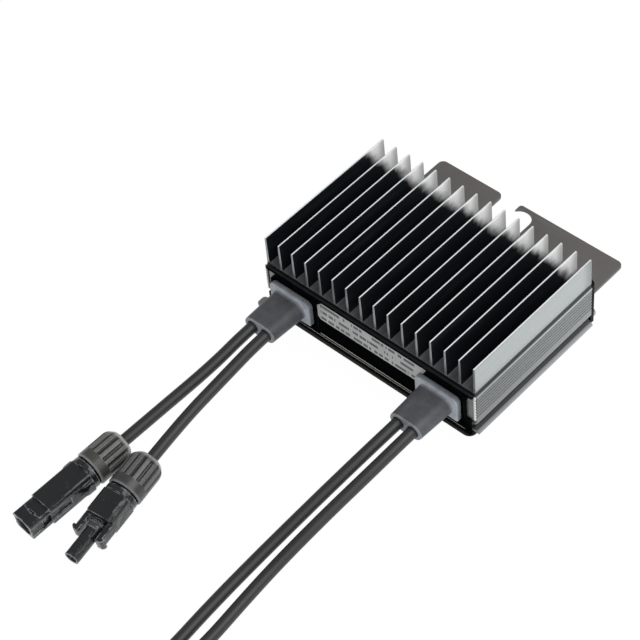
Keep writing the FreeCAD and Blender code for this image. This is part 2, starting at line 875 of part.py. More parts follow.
def front_bezel():
    """Moulded front panel with two sunk fields, a lower rim and the gland holes."""
    body = new_body("front_bezel")
    left = -size("bezel_left")
    right = size("bezel_right")
    rim = HALF_WIDTH - size("tray_corner") / 2
    low = SINK_BOTTOM
    top = size("bezel_top")
    shoulder = size("bezel_shoulder")
    slope = size("bezel_slope")
    foot = size("end_plate_bottom")
    panel = new_sketch(body, "bezel_outline", "XZ_Plane", BEZEL_FACE)
    draw_outline(panel, [
        (-rim, low), (rim, low), (rim, foot - FIT), (right, foot - FIT),
        (right, shoulder), (right + slope / 2, size("end_plate_top")),
        (HALF_WIDTH - size("step_depth"), size("end_plate_top")),
        (HALF_WIDTH - size("step_depth"), top), (-rim, top),
        (-rim, size("end_plate_top") + FIT), (left + slope, size("end_plate_top") + FIT),
        (left, shoulder), (left, foot - FIT), (-rim, foot - FIT),
    ])
    pad(body, panel, size("bezel_thick"), reverse=True)
    field = new_sketch(body, "sunk_field", "XZ_Plane", BEZEL_FACE)
    edge = size("field_edge")
    draw_outline(field, [
        (left + edge / 2, low + size("rim_height")), (rim - edge, low + size("rim_height")),
        (rim - edge, foot - edge), (right - edge / 2, foot - edge),
        (right - edge / 2, shoulder), (right - slope / 2, top - edge),
        (left + slope + edge / 2, top - edge), (left + edge / 2, shoulder),
    ])
    pocket(body, field, size("field_depth"))
    window = new_sketch(body, "label_window", "XZ_Plane", FIELD_FACE)
    draw_outline(window, window_outline(size("window_bottom"), 0))
    pocket(body, window, size("window_depth"))
    ledge = new_sketch(body, "window_ledge", "XZ_Plane", FIELD_FACE)
    half = size("window_half") - size("window_corner")
    draw_outline(ledge, rectangle(-half, half, size("window_bottom") - size("ledge_height"),
                                  size("window_bottom")))
    pad(body, ledge, size("field_depth"))
    holes = new_sketch(body, "bezel_gland_holes", "XZ_Plane", BEZEL_FACE)
    for side in (1, -1):
        draw_slot(holes, gland_place(side), GLAND_Z,
                  size("neck_width") + 2 * FIT, size("neck_height") + 2 * FIT)
    pocket(body, holes, size("bezel_thick"))
    return body


def rating_label():
    """Bare foil label along the top of the window."""
    body = new_body("rating_label")
    foil = new_sketch(body, "foil", "XZ_Plane", WINDOW_FACE)
    low = size("window_top") - 2 * size("label_margin") - size("label_height")
    draw_outline(foil, window_outline(low, size("label_margin")))
    pad(body, foil, size("label_thick"))
    return body


def rear_cover():
    """Moulded panel that closes the back, with a sunk field and two screw ears."""
    body = new_body("rear_cover")
    edge = HALF_WIDTH - size("step_depth")
    low = SINK_BOTTOM
    thick = BEZEL_FACE - SEAL_FACE
    panel = new_sketch(body, "cover_outline", "XZ_Plane", -SEAL_FACE)
    draw_outline(panel, rectangle(-edge, edge, low, size("bezel_top")))
    pad(body, panel, thick, reverse=True)
    round_edges(body, "cover_corners", size("field_corner"),
                lambda line: runs_along(line, 1) and line.CenterOfMass.z > GLAND_Z.value)
    field = new_sketch(body, "cover_field", "XZ_Plane", -BEZEL_FACE)
    inset = size("boss_width") + size("field_edge")
    margin = size("cover_margin")
    draw_outline(field, rectangle(inset - edge, edge - inset,
                                  low + margin, size("bezel_top") - margin))
    pocket(body, field, size("field_depth"), reverse=True)
    holes = new_sketch(body, "cover_screw_holes", "XZ_Plane", -BEZEL_FACE)
    for side in (1, -1):
        draw_circle(holes, side * (HALF_WIDTH - size("channel_inset")),
                    low + size("channel_height"), size("screw_radius") + FIT)
    pocket(body, holes, thick, reverse=True)
    return body


def rear_cover_screws():
    """Two screws through the rear cover into the heat sink's screw channels."""
    screws = []
    z = SINK_BOTTOM + size("channel_height")
    for side in (1, -1):
        index = len(screws) + 1
        x = side * (HALF_WIDTH - size("channel_inset"))
        start = BEZEL_FACE + size("end_screw_cap") - size("end_screw_length")
        shank = new_cylinder(f"cover_screw_shank_{index}", x, start, z,
                             size("screw_radius"), size("end_screw_length"), "+y")
        head = new_cylinder(f"cover_screw_head_{index}", x, BEZEL_FACE, z,
                            size("end_screw_head"), size("end_screw_cap"), "+y")
        screws.append(new_fuse(f"cover_screw_{index}", [head, shank]))
    return new_group("rear_cover_screws", screws)


def lid_seal():
    """Soft frame between the tray's walls and the deck."""
    body = new_body("lid_seal")
    low = DECK_UNDER - size("lid_seal_thick")
    sketch = new_sketch(body, "lid_seal_outline", "XY_Plane", low)
    wide = TRAY_HALF_WIDTH
    deep = HALF_LENGTH
    inner = size("tray_wall")
    draw_outline(sketch, rectangle(-wide, wide, -deep, deep))
    draw_outline(sketch, rectangle(inner - wide, wide - inner, inner - deep, deep - inner))
    pad(body, sketch, size("lid_seal_thick"))
    return body


# Cable glands

def cable_gland(name, side):
    """Rubber gland: a flange on the panel, a tapered sleeve for two leads and a snap-in neck."""
    body = new_body(name)
    x = gland_place(side)
    half = size("flange_width") / 2
    tall = size("flange_height") / 2
    flange = new_sketch(body, f"{name}_flange", "XZ_Plane", FLANGE_FACE)
    draw_outline(flange, rectangle(x - half, x + half, GLAND_Z - tall, GLAND_Z + tall))
    pad(body, flange, size("flange_thick"), reverse=True)
    round_edges(body, f"{name}_top_corners", size("flange_corner"),
                lambda line: runs_along(line, 1) and line.CenterOfMass.z > GLAND_Z.value)
    round_edges(body, f"{name}_low_corners", size("flange_corner") / 3,
                lambda line: runs_along(line, 1) and line.CenterOfMass.z < GLAND_Z.value)
    root = new_sketch(body, f"{name}_root", "XZ_Plane", FLANGE_FACE)
    draw_slot(root, x, GLAND_Z, size("sleeve_root_width"), size("sleeve_root_height"))
    mouth = new_sketch(body, f"{name}_mouth", "XZ_Plane", GLAND_MOUTH)
    draw_slot(mouth, x, GLAND_Z, size("sleeve_width"), size("sleeve_height"))
    sleeve = body.newObject("PartDesign::AdditiveLoft", f"{name}_sleeve")
    sleeve.Profile = root
    sleeve.Sections = [mouth]
    body.Tip = sleeve
    reach = (half - size("flange_corner") / 2).value
    height = (size("sleeve_root_height") + size("flange_height")).value / 4

    def round_root(edge):
        middle = edge.CenterOfMass
        return (abs(middle.y + FLANGE_FACE.value) < 0.01 and abs(middle.x - x.value) < reach
                and abs(middle.z - GLAND_Z.value) < height)

    round_edges(body, f"{name}_root_fillet", size("sleeve_fillet"), round_root)
    round_edges(body, f"{name}_mouth_round", size("mouth_rounding"),
                lambda edge: abs(edge.CenterOfMass.y + GLAND_MOUTH.value) < 0.01)
    neck = new_sketch(body, f"{name}_neck", "XZ_Plane", FIELD_FACE)
    draw_slot(neck, x, GLAND_Z, size("neck_width"), size("neck_height"))
    pad(body, neck, FIELD_FACE - NECK_END, reverse=True)
    ridge = new_sketch(body, f"{name}_ridge", "XZ_Plane", NECK_END + size("ridge"))
    draw_slot(ridge, x, GLAND_Z, size("neck_width") + 2 * size("ridge"),
              size("neck_height") + 2 * size("ridge"))
    pad(body, ridge, size("ridge"), reverse=True)
    leads = new_sketch(body, f"{name}_lead_bores", "XZ_Plane", GLAND_MOUTH)
    cores = new_sketch(body, f"{name}_core_bores", "XZ_Plane", GLAND_MOUTH)
    for hand in (1, -1):
        place = x + hand * size("cable_spacing") / 2
        draw_circle(leads, place, GLAND_Z, size("cable_diameter") / 2 + FIT)
        draw_circle(cores, place, GLAND_Z, size("conductor_diameter") / 2 + FIT)
    pocket(body, leads, size("cable_depth"))
    pocket(body, cores, GLAND_MOUTH - NECK_END)
    return body


# Circuit

def circuit_pieces():
    """Circuit board on the posts, with its parts under it and the transistors above."""
    made = []
    wide = size("board_width")
    deep = size("board_length")
    board_low = size("board_height")
    made.append(new_box("circuit_board", -wide / 2, -deep / 2, board_low,
                        wide, deep, size("board_thick")))

    # Power inductor: a core with two windows and a winding round its middle leg
    core_w = size("core_width")
    core_l = size("core_length")
    core_h = size("core_height")
    core_y = size("post_y") / 4 - core_l / 2
    core_z = board_low - core_h
    leg = size("core_leg")
    yoke = size("core_yoke")
    window = core_w / 2 - leg / 2 - yoke
    block = new_box("core_block", -core_w / 2, core_y, core_z, core_w, core_l, core_h)
    windows = [new_box(f"core_window_{index}", x, core_y - FIT, core_z + yoke,
                       window, core_l + 2 * FIT, core_h - 2 * yoke)
               for index, x in ((1, leg / 2), (2, -leg / 2 - window))]
    made.append(new_cut("power_inductor_core", block, new_group("core_windows", windows)))
    thick = size("winding_thick")
    coil_h = core_h - 2 * yoke - 2 * FIT
    coil_w = leg + 2 * FIT
    coil_l = core_l + 2 * FIT
    outer = new_box("winding_block", -coil_w / 2 - thick, core_y - FIT - thick,
                    core_z + yoke + FIT, coil_w + 2 * thick, coil_l + 2 * thick, coil_h)
    eye = new_box("winding_eye", -coil_w / 2, core_y - FIT,
                  core_z + yoke, coil_w, coil_l, coil_h + 2 * FIT)
    made.append(new_cut("power_inductor_winding", outer, eye))

    # Capacitors hang under the board, two at the input and two at the output
    radius = size("capacitor_radius")
    height = size("capacitor_height")
    for kind, side in (("input", -1), ("output", 1)):
        for index in (1, 2):
            y = (index - 1) * (2 * radius + 2) - radius
            made.append(new_cylinder(f"{kind}_capacitor_{index}", gland_place(side), y,
                                     board_low - height, radius, height))

    # Transistors stand between the board and the pad under the deck
    pad_low = DECK_UNDER - size("pad_thick")
    side = size("transistor_side")
    pitch = size("pad_width") / 4
    for index in range(4):
        x = (index - 1.5) * pitch - side / 2
        made.append(new_box(f"power_transistor_{index + 1}", x, -side / 2, BOARD_TOP,
                            side, side, pad_low - BOARD_TOP))
    made.append(new_box("gap_pad", -size("pad_width") / 2, -size("pad_length") / 2, pad_low,
                        size("pad_width"), size("pad_length"), size("pad_thick")))
    chip = size("chip_side")
    made.append(new_box("control_chip", -chip / 2, size("pad_length"), BOARD_TOP,
                        chip, chip, size("chip_thick")))
    return made


def terminal_pieces():
    """Conductors that leave the glands' necks and the clamps that tie them to the board."""
    made = []
    tall = size("conductor_diameter") / 2 + size("terminal_width") / 4
    front = -(NECK_END - size("terminal_width") / 2)
    reach = size("conductor_diameter") / 2
    for kind, side in (("input", -1), ("output", 1)):
        for letter, hand in (("a", -1), ("b", 1)):
            x = gland_place(side) + hand * size("cable_spacing") / 2
            name = f"{kind}_terminal_{letter}"
            block = new_box(f"{name}_block", x - size("terminal_width") / 2, front,
                            GLAND_Z - tall, size("terminal_width"), size("terminal_length"),
                            size("board_height") - GLAND_Z + tall)
            bore = new_cylinder(f"{name}_bore", x, front - FIT, GLAND_Z,
                                reach + FIT / 2, size("terminal_length") + 2 * FIT, "+y")
            made.append(new_cut(name, block, bore))
            made.append(new_cylinder(
                f"{kind}_conductor_{letter}", x, -LEAD_START, GLAND_Z, reach,
                LEAD_START + front + size("terminal_length"), "+y"))
    return made


# Lead connectors, made along +X and then laid down where each lead ends

def clamp_nut(name):
    """Fluted cap nut with a dome for the lead and a wide mouth for the thread."""
    body = new_body(name)
    bore = size("cable_diameter") / 2 + FIT
    wide = size("nut_radius")
    long = size("nut_length")
    dome = size("nut_dome")
    seat = size("seal_start") + size("seal_length")
    thread = size("thread_radius") + size("thread_gap")
    section = new_sketch(body, f"{name}_section", "XZ_Plane")
    draw_outline(section, [
        (0, bore), *[(dome * share, wide * width) for share, width in DOME_PROFILE],
        (long - FIT * 5, wide), (long, wide - FIT * 5), (long, thread),
        (seat + size("thread_gap"), thread), (seat, size("seal_radius")),
        (size("seal_start"), size("seal_radius")), (size("seal_start"), bore),
    ])
    revolve(body, section, "X_Axis")
    flute = new_sketch(body, f"{name}_flute", "YZ_Plane")
    half = size("flute_width") / 2
    floor = wide - size("flute_depth")
    draw_outline(flute, [(-half * FLUTE_TAPER, floor), (half * FLUTE_TAPER, floor),
                         (half, wide + FIT), (-half, wide + FIT)])
    cut = pocket(body, flute, size("flute_length"), reverse=True)
    repeat_round(body, cut, "X_Axis", size("nut_flutes"))
    return body


def lead_seal(name):
    """Rubber ring that the nut squeezes round the lead."""
    body = new_body(name)
    bore = size("cable_diameter") / 2 + FIT
    start = size("seal_start")
    section = new_sketch(body, f"{name}_section", "XZ_Plane")
    draw_outline(section, rectangle(start, start + size("seal_length"),
                                    bore, size("seal_radius") - FIT / 2))
    revolve(body, section, "X_Axis")
    return body


def box_along(body, name, start, end, width, height, corner):
    """Grow a block with rounded corners between two places along X, centred on the axis."""
    sketch = new_sketch(body, name, "YZ_Plane", start)
    draw_rounded(sketch, -width / 2, width / 2, -height / 2, height / 2, corner)
    return pad(body, sketch, end - start)


def disc_along(body, name, start, end, radius):
    """Grow a round length between two places along X."""
    sketch = new_sketch(body, name, "YZ_Plane", start)
    draw_circle(sketch, 0, 0, radius)
    return pad(body, sketch, end - start)


def bore_along(body, name, start, end, radius):
    """Bore a round hole between two places along X."""
    sketch = new_sketch(body, name, "YZ_Plane", start)
    draw_circle(sketch, 0, 0, radius)
    return pocket(body, sketch, end - start, reverse=True)


def connector_rear(body, name):
    """Threaded neck inside the nut and the collar that the nut meets."""
    start = size("seal_start") + size("seal_length") + size("thread_gap")
    mouth = size("nut_length") + size("thread_gap")
    collar = mouth + size("collar_length")
    disc_along(body, f"{name}_thread", start, mouth, size("thread_radius"))
    disc_along(body, f"{name}_collar", mouth, collar, size("collar_radius"))
    return start, collar


def socket_hollows(body, name, waist, mouth):
    """Sink a pocket with bowed ends across the top and the underside of a socket."""
    half = size("socket_front_width") / 2 - size("socket_wall")
    bow = size("socket_bulge")
    bend = bow * BOW_SHARE
    depth = size("socket_hollow")
    face = size("socket_front_height") / 2
    for label, offset, reverse in (("top", face, False), ("under", -face, True)):
        hollow = new_sketch(body, f"{name}_{label}_hollow", "XY_Plane", offset)
        draw_outline(hollow, [
            (waist, -half), (mouth, -half), (mouth + bend, -half / 2), (mouth + bow, 0),
            (mouth + bend, half / 2), (mouth, half), (waist, half),
            (waist - bend, half / 2), (waist - bow, 0), (waist - bend, -half / 2),
        ])
        pocket(body, hollow, depth, reverse=reverse)


def socket_body(name):
    """Socket housing: a shell with wings and side rails, hollows and latch windows."""
    body = new_body(name)
    start, collar = connector_rear(body, name)
    front = size("socket_length")
    mouth = front - size("socket_front")
    waist = mouth - size("socket_neck")
    wide = size("socket_width")
    box_along(body, f"{name}_shell", collar, waist, wide, size("socket_height"),
              size("socket_corner"))
    box_along(body, f"{name}_nose", waist, front, size("socket_front_width"),
              size("socket_front_height"), size("socket_corner"))
    wing = new_sketch(body, f"{name}_wings", "XY_Plane", -size("wing_height") / 2)
    reach = size("collar_radius")
    flank = wide / 2 - size("socket_corner") / 2
    wing_end = (collar + waist) / 2
    for side in (1, -1):
        draw_outline(wing, [(collar, side * flank), (collar, side * reach),
                            (wing_end - reach, side * reach), (wing_end, side * flank)])
    pad(body, wing, size("wing_height"))
    socket_hollows(body, name, waist, mouth)
    cavity = size("socket_cavity")
    half = size("latch_height") / 2 - size("socket_rail")
    nose_flank = size("socket_front_width") / 2
    for side, label in ((1, "left"), (-1, "right")):
        rail = new_sketch(body, f"{name}_{label}_rail", "XZ_Plane", -side * wide / 2)
        draw_outline(rail, rectangle(wing_end + size("socket_rail"), front + FIT, -half, half))
        pocket(body, rail, wide / 2 - nose_flank + size("socket_rail"), reverse=side > 0)
        gap = new_sketch(body, f"{name}_{label}_window", "XZ_Plane", -side * nose_flank)
        draw_outline(gap, rectangle(waist, mouth - size("socket_rail"), -half, half))
        pocket(body, gap, nose_flank - cavity + FIT, reverse=side > 0)
    bore_along(body, f"{name}_mouth_bore", mouth, front, size("socket_bore"))
    bore_along(body, f"{name}_cavity", collar + size("crimp_length") / 2, front, cavity)
    bore_along(body, f"{name}_contact_bore", start, front, size("crimp_radius") + FIT)
    return body


def plug_body(name):
    """Plug housing: a stepped shell, a tube with a sealing ring and two barbed latch arms."""
    body = new_body(name)
    start, collar = connector_rear(body, name)
    shell = size("plug_body")
    front = size("plug_length")
    step = size("plug_step")
    wide = size("plug_width")
    middle = (collar + shell) / 2
    box_along(body, f"{name}_shell", collar, shell, wide - 2 * step, size("plug_height"),
              size("socket_corner"))
    box_along(body, f"{name}_flank", collar, shell - step, wide,
              size("plug_height") - 2 * step, size("socket_corner"))
    box_along(body, f"{name}_shoulder", collar, middle, wide,
              size("plug_height"), size("socket_corner") * 2)
    disc_along(body, f"{name}_tube", shell, front, size("plug_tube"))
    ring = shell + size("latch_thick") / 2
    disc_along(body, f"{name}_ring", ring, ring + step, size("plug_ring"))
    disc_along(body, f"{name}_second_ring", ring + 2 * step, ring + 3 * step,
               size("plug_ring") - step / 4)
    arms = new_sketch(body, f"{name}_arms", "XY_Plane", -size("latch_height") / 2)
    inner = size("latch_offset")
    outer = inner + size("latch_thick")
    rise = size("latch_barb")
    barb = outer + rise
    tip = shell + size("latch_length")
    for side in (1, -1):
        draw_outline(arms, [
            (shell - step * 2, side * inner), (tip, side * inner), (tip, side * outer),
            (tip - rise, side * barb), (tip - rise * 2, side * barb),
            (tip - rise * 2, side * outer), (shell - step * 2, side * outer),
        ])
    pad(body, arms, size("latch_height"))
    bore_along(body, f"{name}_bore", start, front, size("contact_radius") + FIT)
    bore_along(body, f"{name}_crimp_bore", start, start + size("crimp_start"),
               size("crimp_radius") + FIT)
    return body


def contact(name, kind):
    """Metal contact: a crimp barrel on the lead, then a pin or a slotted sleeve."""
    body = new_body(name)
    start = size("crimp_start")
    barrel = start + size("crimp_length")
    end = barrel + size("pin_length")
    disc_along(body, f"{name}_barrel", start, barrel, size("crimp_radius"))
    if kind == "socket":
        disc_along(body, f"{name}_pin", barrel, end, size("pin_radius"))
        return body
    disc_along(body, f"{name}_sleeve", barrel, end, size("contact_radius"))
    bore_along(body, f"{name}_eye", end - size("pin_length") / 2, end, size("pin_radius"))
    return body


def lay_down(pieces, kind, entry, heading):
    """Lay a connector on the ground, nut and nose down, with its entry over a place."""
    nose = size("socket_front_height") / 2 if kind == "socket" else size("plug_height") / 2
    reach = size("socket_length") if kind == "socket" else size("plug_body")
    tip_down = math.atan2(size("nut_radius").value - nose.value,
                          reach.value - size("nut_length").value)
    height = (size("nut_length").value * math.sin(tip_down)
              + size("nut_radius").value * math.cos(tip_down))
    turn = FreeCAD.Rotation(V(0, 0, 1), heading).multiply(
        FreeCAD.Rotation(V(0, 1, 0), math.degrees(tip_down)))
    place = FreeCAD.Placement(V(entry[0], entry[1], height), turn)
    for piece in pieces:
        piece.Placement = place
    return place


def connector(lead, kind, entry, heading):
    """Make a lead's four connector pieces and give their common placement."""
    nut = clamp_nut(f"{lead}_clamp_nut")
    seal = lead_seal(f"{lead}_lead_seal")
    make = socket_body if kind == "socket" else plug_body
    housing = make(f"{lead}_{kind}_body")
    metal = contact(f"{lead}_contact", kind)
    pieces = [nut, seal, housing, metal]
    return pieces, lay_down(pieces, kind, entry, heading)


# Leads

def lead_path(points):
    """Join straight runs with tangent arcs as large as their runs allow."""
    edges = []
    start = points[0]
    for index in range(1, len(points) - 1):
        here = points[index]
        back = points[index - 1] - here
        ahead = points[index + 1] - here
        turn = math.pi - back.getAngle(ahead)
        reach = ARC_SHARE * min(back.Length, ahead.Length)
        radius = reach / math.tan(turn / 2)
        back.normalize()
        ahead.normalize()
        first = here + back * reach
        last = here + ahead * reach
        bisector = (back + ahead).normalize()
        centre = here + bisector * math.hypot(radius, reach)
        middle = centre - bisector * radius
        edges.append(Part.LineSegment(start, first).toShape())
        edges.append(Part.Arc(first, middle, last).toShape())
        print(f"  turn {math.degrees(turn):.1f} deg, radius {radius:.0f} mm")
        start = last
    edges.append(Part.LineSegment(start, points[-1]).toShape())
    return Part.Wire(edges)


def lead_tube(name, points):
    """Make the plain tube of a lead along its route."""
    print(name)
    path = lead_path([V(*point) for point in points])
    radius = size("cable_diameter").value / 2
    edge = Part.Edge(Part.Circle(path.Edges[0].valueAt(0), path.Edges[0].tangentAt(0), radius))
    solid = path.makePipeShell([Part.Wire([edge])], True, True)
    expected = math.pi * radius ** 2 * path.Length
    if abs(solid.Volume - expected) > 0.01 * expected:
        raise ValueError(f"{name} has volume {solid.Volume:.0f}, expected {expected:.0f}")
    item = doc.addObject("Part::Feature", name)
    item.Label = name
    item.Shape = solid
    item.Placement = FreeCAD.Placement()
    print(f"  length {path.Length:.1f} mm")
    return item


def lead_coil(name, centre, radius, hand, leave):
    """Make the outer shape of a coil, with a stub where the lead comes in and one where it goes."""
    thick = size("cable_diameter").value
    rows = int(size("coil_rows").value)
    layers = int(size("coil_layers").value)
    stub = size("coil_stub").value
    outer = radius + (rows - 1) * thick / 2
    ring = Part.makeCylinder(outer + thick / 2, layers * thick)
    ring = ring.cut(Part.makeCylinder(radius - rows * thick / 2, layers * thick))
    ring = ring.makeFillet(thick * COIL_ROUNDING, [edge for edge in ring.Edges
                                          if edge.Curve.TypeId == "Part::GeomCircle"])
    low = thick / 2
    high = (layers - 0.5) * thick
    entry = V(outer * hand, 0, low)
    shapes = [ring, Part.makeCylinder(low, stub, entry, V(0, 1, 0))]
    angle = math.radians(leave)
    foot = V(outer * math.cos(angle), outer * math.sin(angle), high)
    away = V(hand * math.sin(angle), -hand * math.cos(angle), 0)
    shapes.append(Part.makeCylinder(low, stub, foot, away))
    item = doc.addObject("Part::Feature", name)
    item.Label = name
    item.Shape = shapes[0].multiFuse(shapes[1:]).removeSplitter()
    item.Placement = FreeCAD.Placement(V(centre[0], centre[1], 0), FreeCAD.Rotation())
    return item, item.Placement.multVec(foot + away * stub), away


def into_nut(place):
    """Give the point inside a nut where its lead ends."""
    return place.multVec(V(size("crimp_start").value, 0, 0))


def before_nut(place, distance):
    """Give a point on a connector's axis, short of its nut."""
    return place.multVec(V(-distance, 0, 0))


def gland_exit(side, hand):
    """Give the start of a lead inside its gland and the end of its straight way out."""
    x = gland_place(side).value + hand * size("cable_spacing").value / 2
    z = GLAND_Z.value
    return [V(x, -LEAD_START.value, z), V(x, -GLAND_MOUTH.value - size("lead_exit").value, z)]


def input_leads():
    """Make the two short input leads, from the left gland straight to their connectors."""
    socket_pieces, socket_place = connector("input_a", "socket", (-55.1, -151.2), -93.9)
    plug_pieces, plug_place = connector("input_b", "plug", (-37.4, -150.7), -82.9)
    lead_a = lead_tube("input_lead_a", gland_exit(-1, -1) + [
        V(-50.9, -96.0, 15.8), before_nut(socket_place, 20.0), into_nut(socket_place)])
    lead_b = lead_tube("input_lead_b", gland_exit(-1, 1) + [
        V(-42.1, -96.0, 15.6), before_nut(plug_place, 20.0), into_nut(plug_place)])
    return socket_pieces + plug_pieces + [lead_a, lead_b]


def output_lead(letter, kind, hand, centre, leave, sway, route):
    """Make one long output lead: a tube to its coil, the coil, a tail and a connector."""
    floor = size("cable_diameter").value / 2
    radius = size(f"coil_radius_{letter}").value
    outer = radius + (size("coil_rows").value - 1) * floor
    name = f"output_lead_{letter}"
    coil, tail, away = lead_coil(f"{name}_coil", centre, radius, hand, leave)
    entry = V(centre[0] + hand * outer, centre[1] + size("coil_stub").value, floor)
    points = gland_exit(1, -hand) + [V(*place) for place in route]
    points += [entry + V(0, size("coil_run_in").value, 0), entry]
    tube = lead_tube(name, points)

    # The tail sways twice to the side and ends on the connector's own axis
    bend = FreeCAD.Rotation(V(0, 0, 1), sway)
    first = tail + away * size("tail_straight").value
    nut = first + bend.multVec(away) * size("tail_reach").value
    ahead = bend.multVec(bend.multVec(away))
    heading = math.degrees(math.atan2(ahead.y, ahead.x))
    pieces, place = connector(f"output_{letter}", kind, (nut.x, nut.y), heading)
    run = before_nut(place, size("tail_nut_run").value)
    tail_tube = lead_tube(f"{name}_tail", [tail, first, run, into_nut(place)])
    return [tube, coil, tail_tube] + pieces


def output_leads():
    """Make the two long output leads, from the right gland down to the ground and coiled."""
    rest = size("cable_diameter").value / 2
    lead_a = output_lead("a", "plug", 1, (0.0, -303.0), 42.0, 6.0, [
        (38.9, -95.0, 16.6), (36.3, -122.0, 11.0), (34.0, -156.0, 5.0), (34.3, -186.0, rest),
        (36.6, -214.0, rest), (37.0, -237.0, rest)])
    lead_b = output_lead("b", "socket", -1, (85.0, -264.0), 4.0, -3.0, [
        (47.4, -95.0, 16.1), (44.9, -124.0, 10.9), (43.1, -153.0, 5.4), (43.8, -177.0, rest),
        (46.0, -199.0, rest)])
    return lead_a + lead_b


# Assembly

def build():
    """Make every sub-part and return them in a list."""
    made = [heat_sink(), countersunk_plate(mounting_plate()), plate_screws(), housing_tray()]
    made += [end_seal("front_seal", True), end_seal("rear_seal", False)]
    made += [front_end_plate(), front_bezel(), rating_label(), rear_cover(), rear_cover_screws()]
    made += [lid_seal(), cable_gland("input_gland", -1), cable_gland("output_gland", 1)]
    made += circuit_pieces() + terminal_pieces() + input_leads() + output_leads()
    return made


def check_and_write(made):
    """Check every object, then write one file per sub-part."""
    doc.recompute()
    for item in doc.Objects:
        if "Invalid" in item.State or "Error" in item.State:
            raise ValueError(f"{item.Name} failed: {item.State}")
    os.makedirs("parts", exist_ok=True)
    for item in made:
        shape = item.Shape
        if shape.isNull() or not shape.isValid() or not shape.Solids:
            raise ValueError(f"{item.Label} has no valid solid")
        if item.TypeId == "PartDesign::Body" and len(shape.Solids) != 1:
            raise ValueError(f"{item.Label} has {len(shape.Solids)} solids")
    for item in made:
        item.Shape.exportStep(os.path.join("parts", f"{item.Label}.step"))
    print(f"{len(made)} sub-parts written")


check_and_write(build())
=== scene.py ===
import math

import bmesh
import bpy
import numpy as np
from mathutils import Matrix, Vector


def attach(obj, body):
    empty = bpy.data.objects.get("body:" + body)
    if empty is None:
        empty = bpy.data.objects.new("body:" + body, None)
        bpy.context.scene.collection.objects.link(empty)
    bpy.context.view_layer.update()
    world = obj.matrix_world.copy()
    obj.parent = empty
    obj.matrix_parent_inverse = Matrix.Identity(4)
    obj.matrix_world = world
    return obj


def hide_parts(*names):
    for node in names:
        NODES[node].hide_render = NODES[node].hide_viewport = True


bl_info = {
    "name": "Power optimizer finishes",
    "version": (1, 0, 0),
    "blender": (4, 5, 0),
    "location": "View3D > Sidebar > Optimizer",
    "description": "Leads, nuts, finishes and studio for a finned power optimizer",
    "category": "Object",
}

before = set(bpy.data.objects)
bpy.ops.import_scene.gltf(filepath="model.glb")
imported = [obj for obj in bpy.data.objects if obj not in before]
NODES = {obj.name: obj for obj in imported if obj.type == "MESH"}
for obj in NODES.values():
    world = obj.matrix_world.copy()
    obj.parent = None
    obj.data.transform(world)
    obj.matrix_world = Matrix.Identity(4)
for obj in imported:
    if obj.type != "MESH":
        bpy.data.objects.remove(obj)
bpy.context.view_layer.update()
MM = 0.001

# The frame is in metres. +X runs across the fins, +Y along them, away from the glands, and
# +Z up. Sizes that are listed below in millimetres are multiplied by MM where they are used.
# The finishes and the studio are written in metres.

# Leads, in millimetres, with the same points as the solids

LEAD_DIAMETER = 5.9
LEAD_SPACING = 8.5
GLAND_X = {-1: -46.4, 1: 44.4}
GLAND_Z = 19.1
GLAND_MOUTH_Y = -68.0
GLAND_DEPTH = 14.0
GLAND_EXIT = 5.0
REST_Z = LEAD_DIAMETER / 2
INPUT_NUT_RUN = 20.0
COIL_STUB = 22.0
COIL_RUN_IN = 21.0
COIL_TURNS = 4
TURNS_PER_LAYER = 2
TAIL_STRAIGHT = 4.0
TAIL_REACH = 20.0
TAIL_NUT_RUN = 8.0
POINTS_PER_TURN = 16

# Fins, and grooves in the side walls, in millimetres

FIN_PITCH = 8.45
FIN_ROW_EDGE = 8 * FIN_PITCH
FIN_TOP = 49.5
FIRST_GROOVE = 16.5
GROOVE_PITCH = 2.04

# Connectors, in millimetres

NUT_LENGTH = 21.0
NUT_RADIUS = 8.8
NUT_BORE = 6.2
NUT_MOUTH = 20.1
NUT_MOUTH_RADIUS = 7.6
NUT_ROUNDING = 0.8
NUT_GRID = 0.6
FLUTES = 14
FLUTE_DEPTH = 0.85
FLUTES_END = 14.6
POINTS_PER_FLUTE = 16
LEAD_END = 16.0
NOSE_HALF_HEIGHT = {"socket": 5.4, "plug": 6.8}
NOSE_REACH = {"socket": 60.0, "plug": 37.6}

# Surfaces taken from the solids: points this near are one, and edges this sharp are broken

MERGE_DISTANCE = 0.005
FLAT_ANGLE = math.radians(1.0)
SHARP_ANGLE = math.radians(30.0)


def lay_of(kind, entry, heading):
    """Place a connector on the ground by its nut's ring and its nose.

    Its own +X runs from the lead's entry to the nose. The tilt drops the nose to the ground,
    and the entry's height follows from the ring that rests there.
    """
    tilt = math.atan2(NUT_RADIUS - NOSE_HALF_HEIGHT[kind], NOSE_REACH[kind] - NUT_LENGTH)
    height = NUT_LENGTH * math.sin(tilt) + NUT_RADIUS * math.cos(tilt)
    turn = Matrix.Rotation(math.radians(heading), 4, "Z") @ Matrix.Rotation(tilt, 4, "Y")
    return Matrix.Translation((entry[0], entry[1], height)) @ turn


def gland_exit(side, hand):
    """Give the lead's start inside its gland and the end of its straight way out."""
    x = GLAND_X[side] + hand * LEAD_SPACING / 2
    return [(x, GLAND_MOUTH_Y + GLAND_DEPTH, GLAND_Z),
            (x, GLAND_MOUTH_Y - GLAND_EXIT, GLAND_Z)]


def along(lay, distance):
    """Give the point on a connector's axis at a distance from the lead's entry."""
    return tuple(lay @ Vector((distance, 0.0, 0.0)))


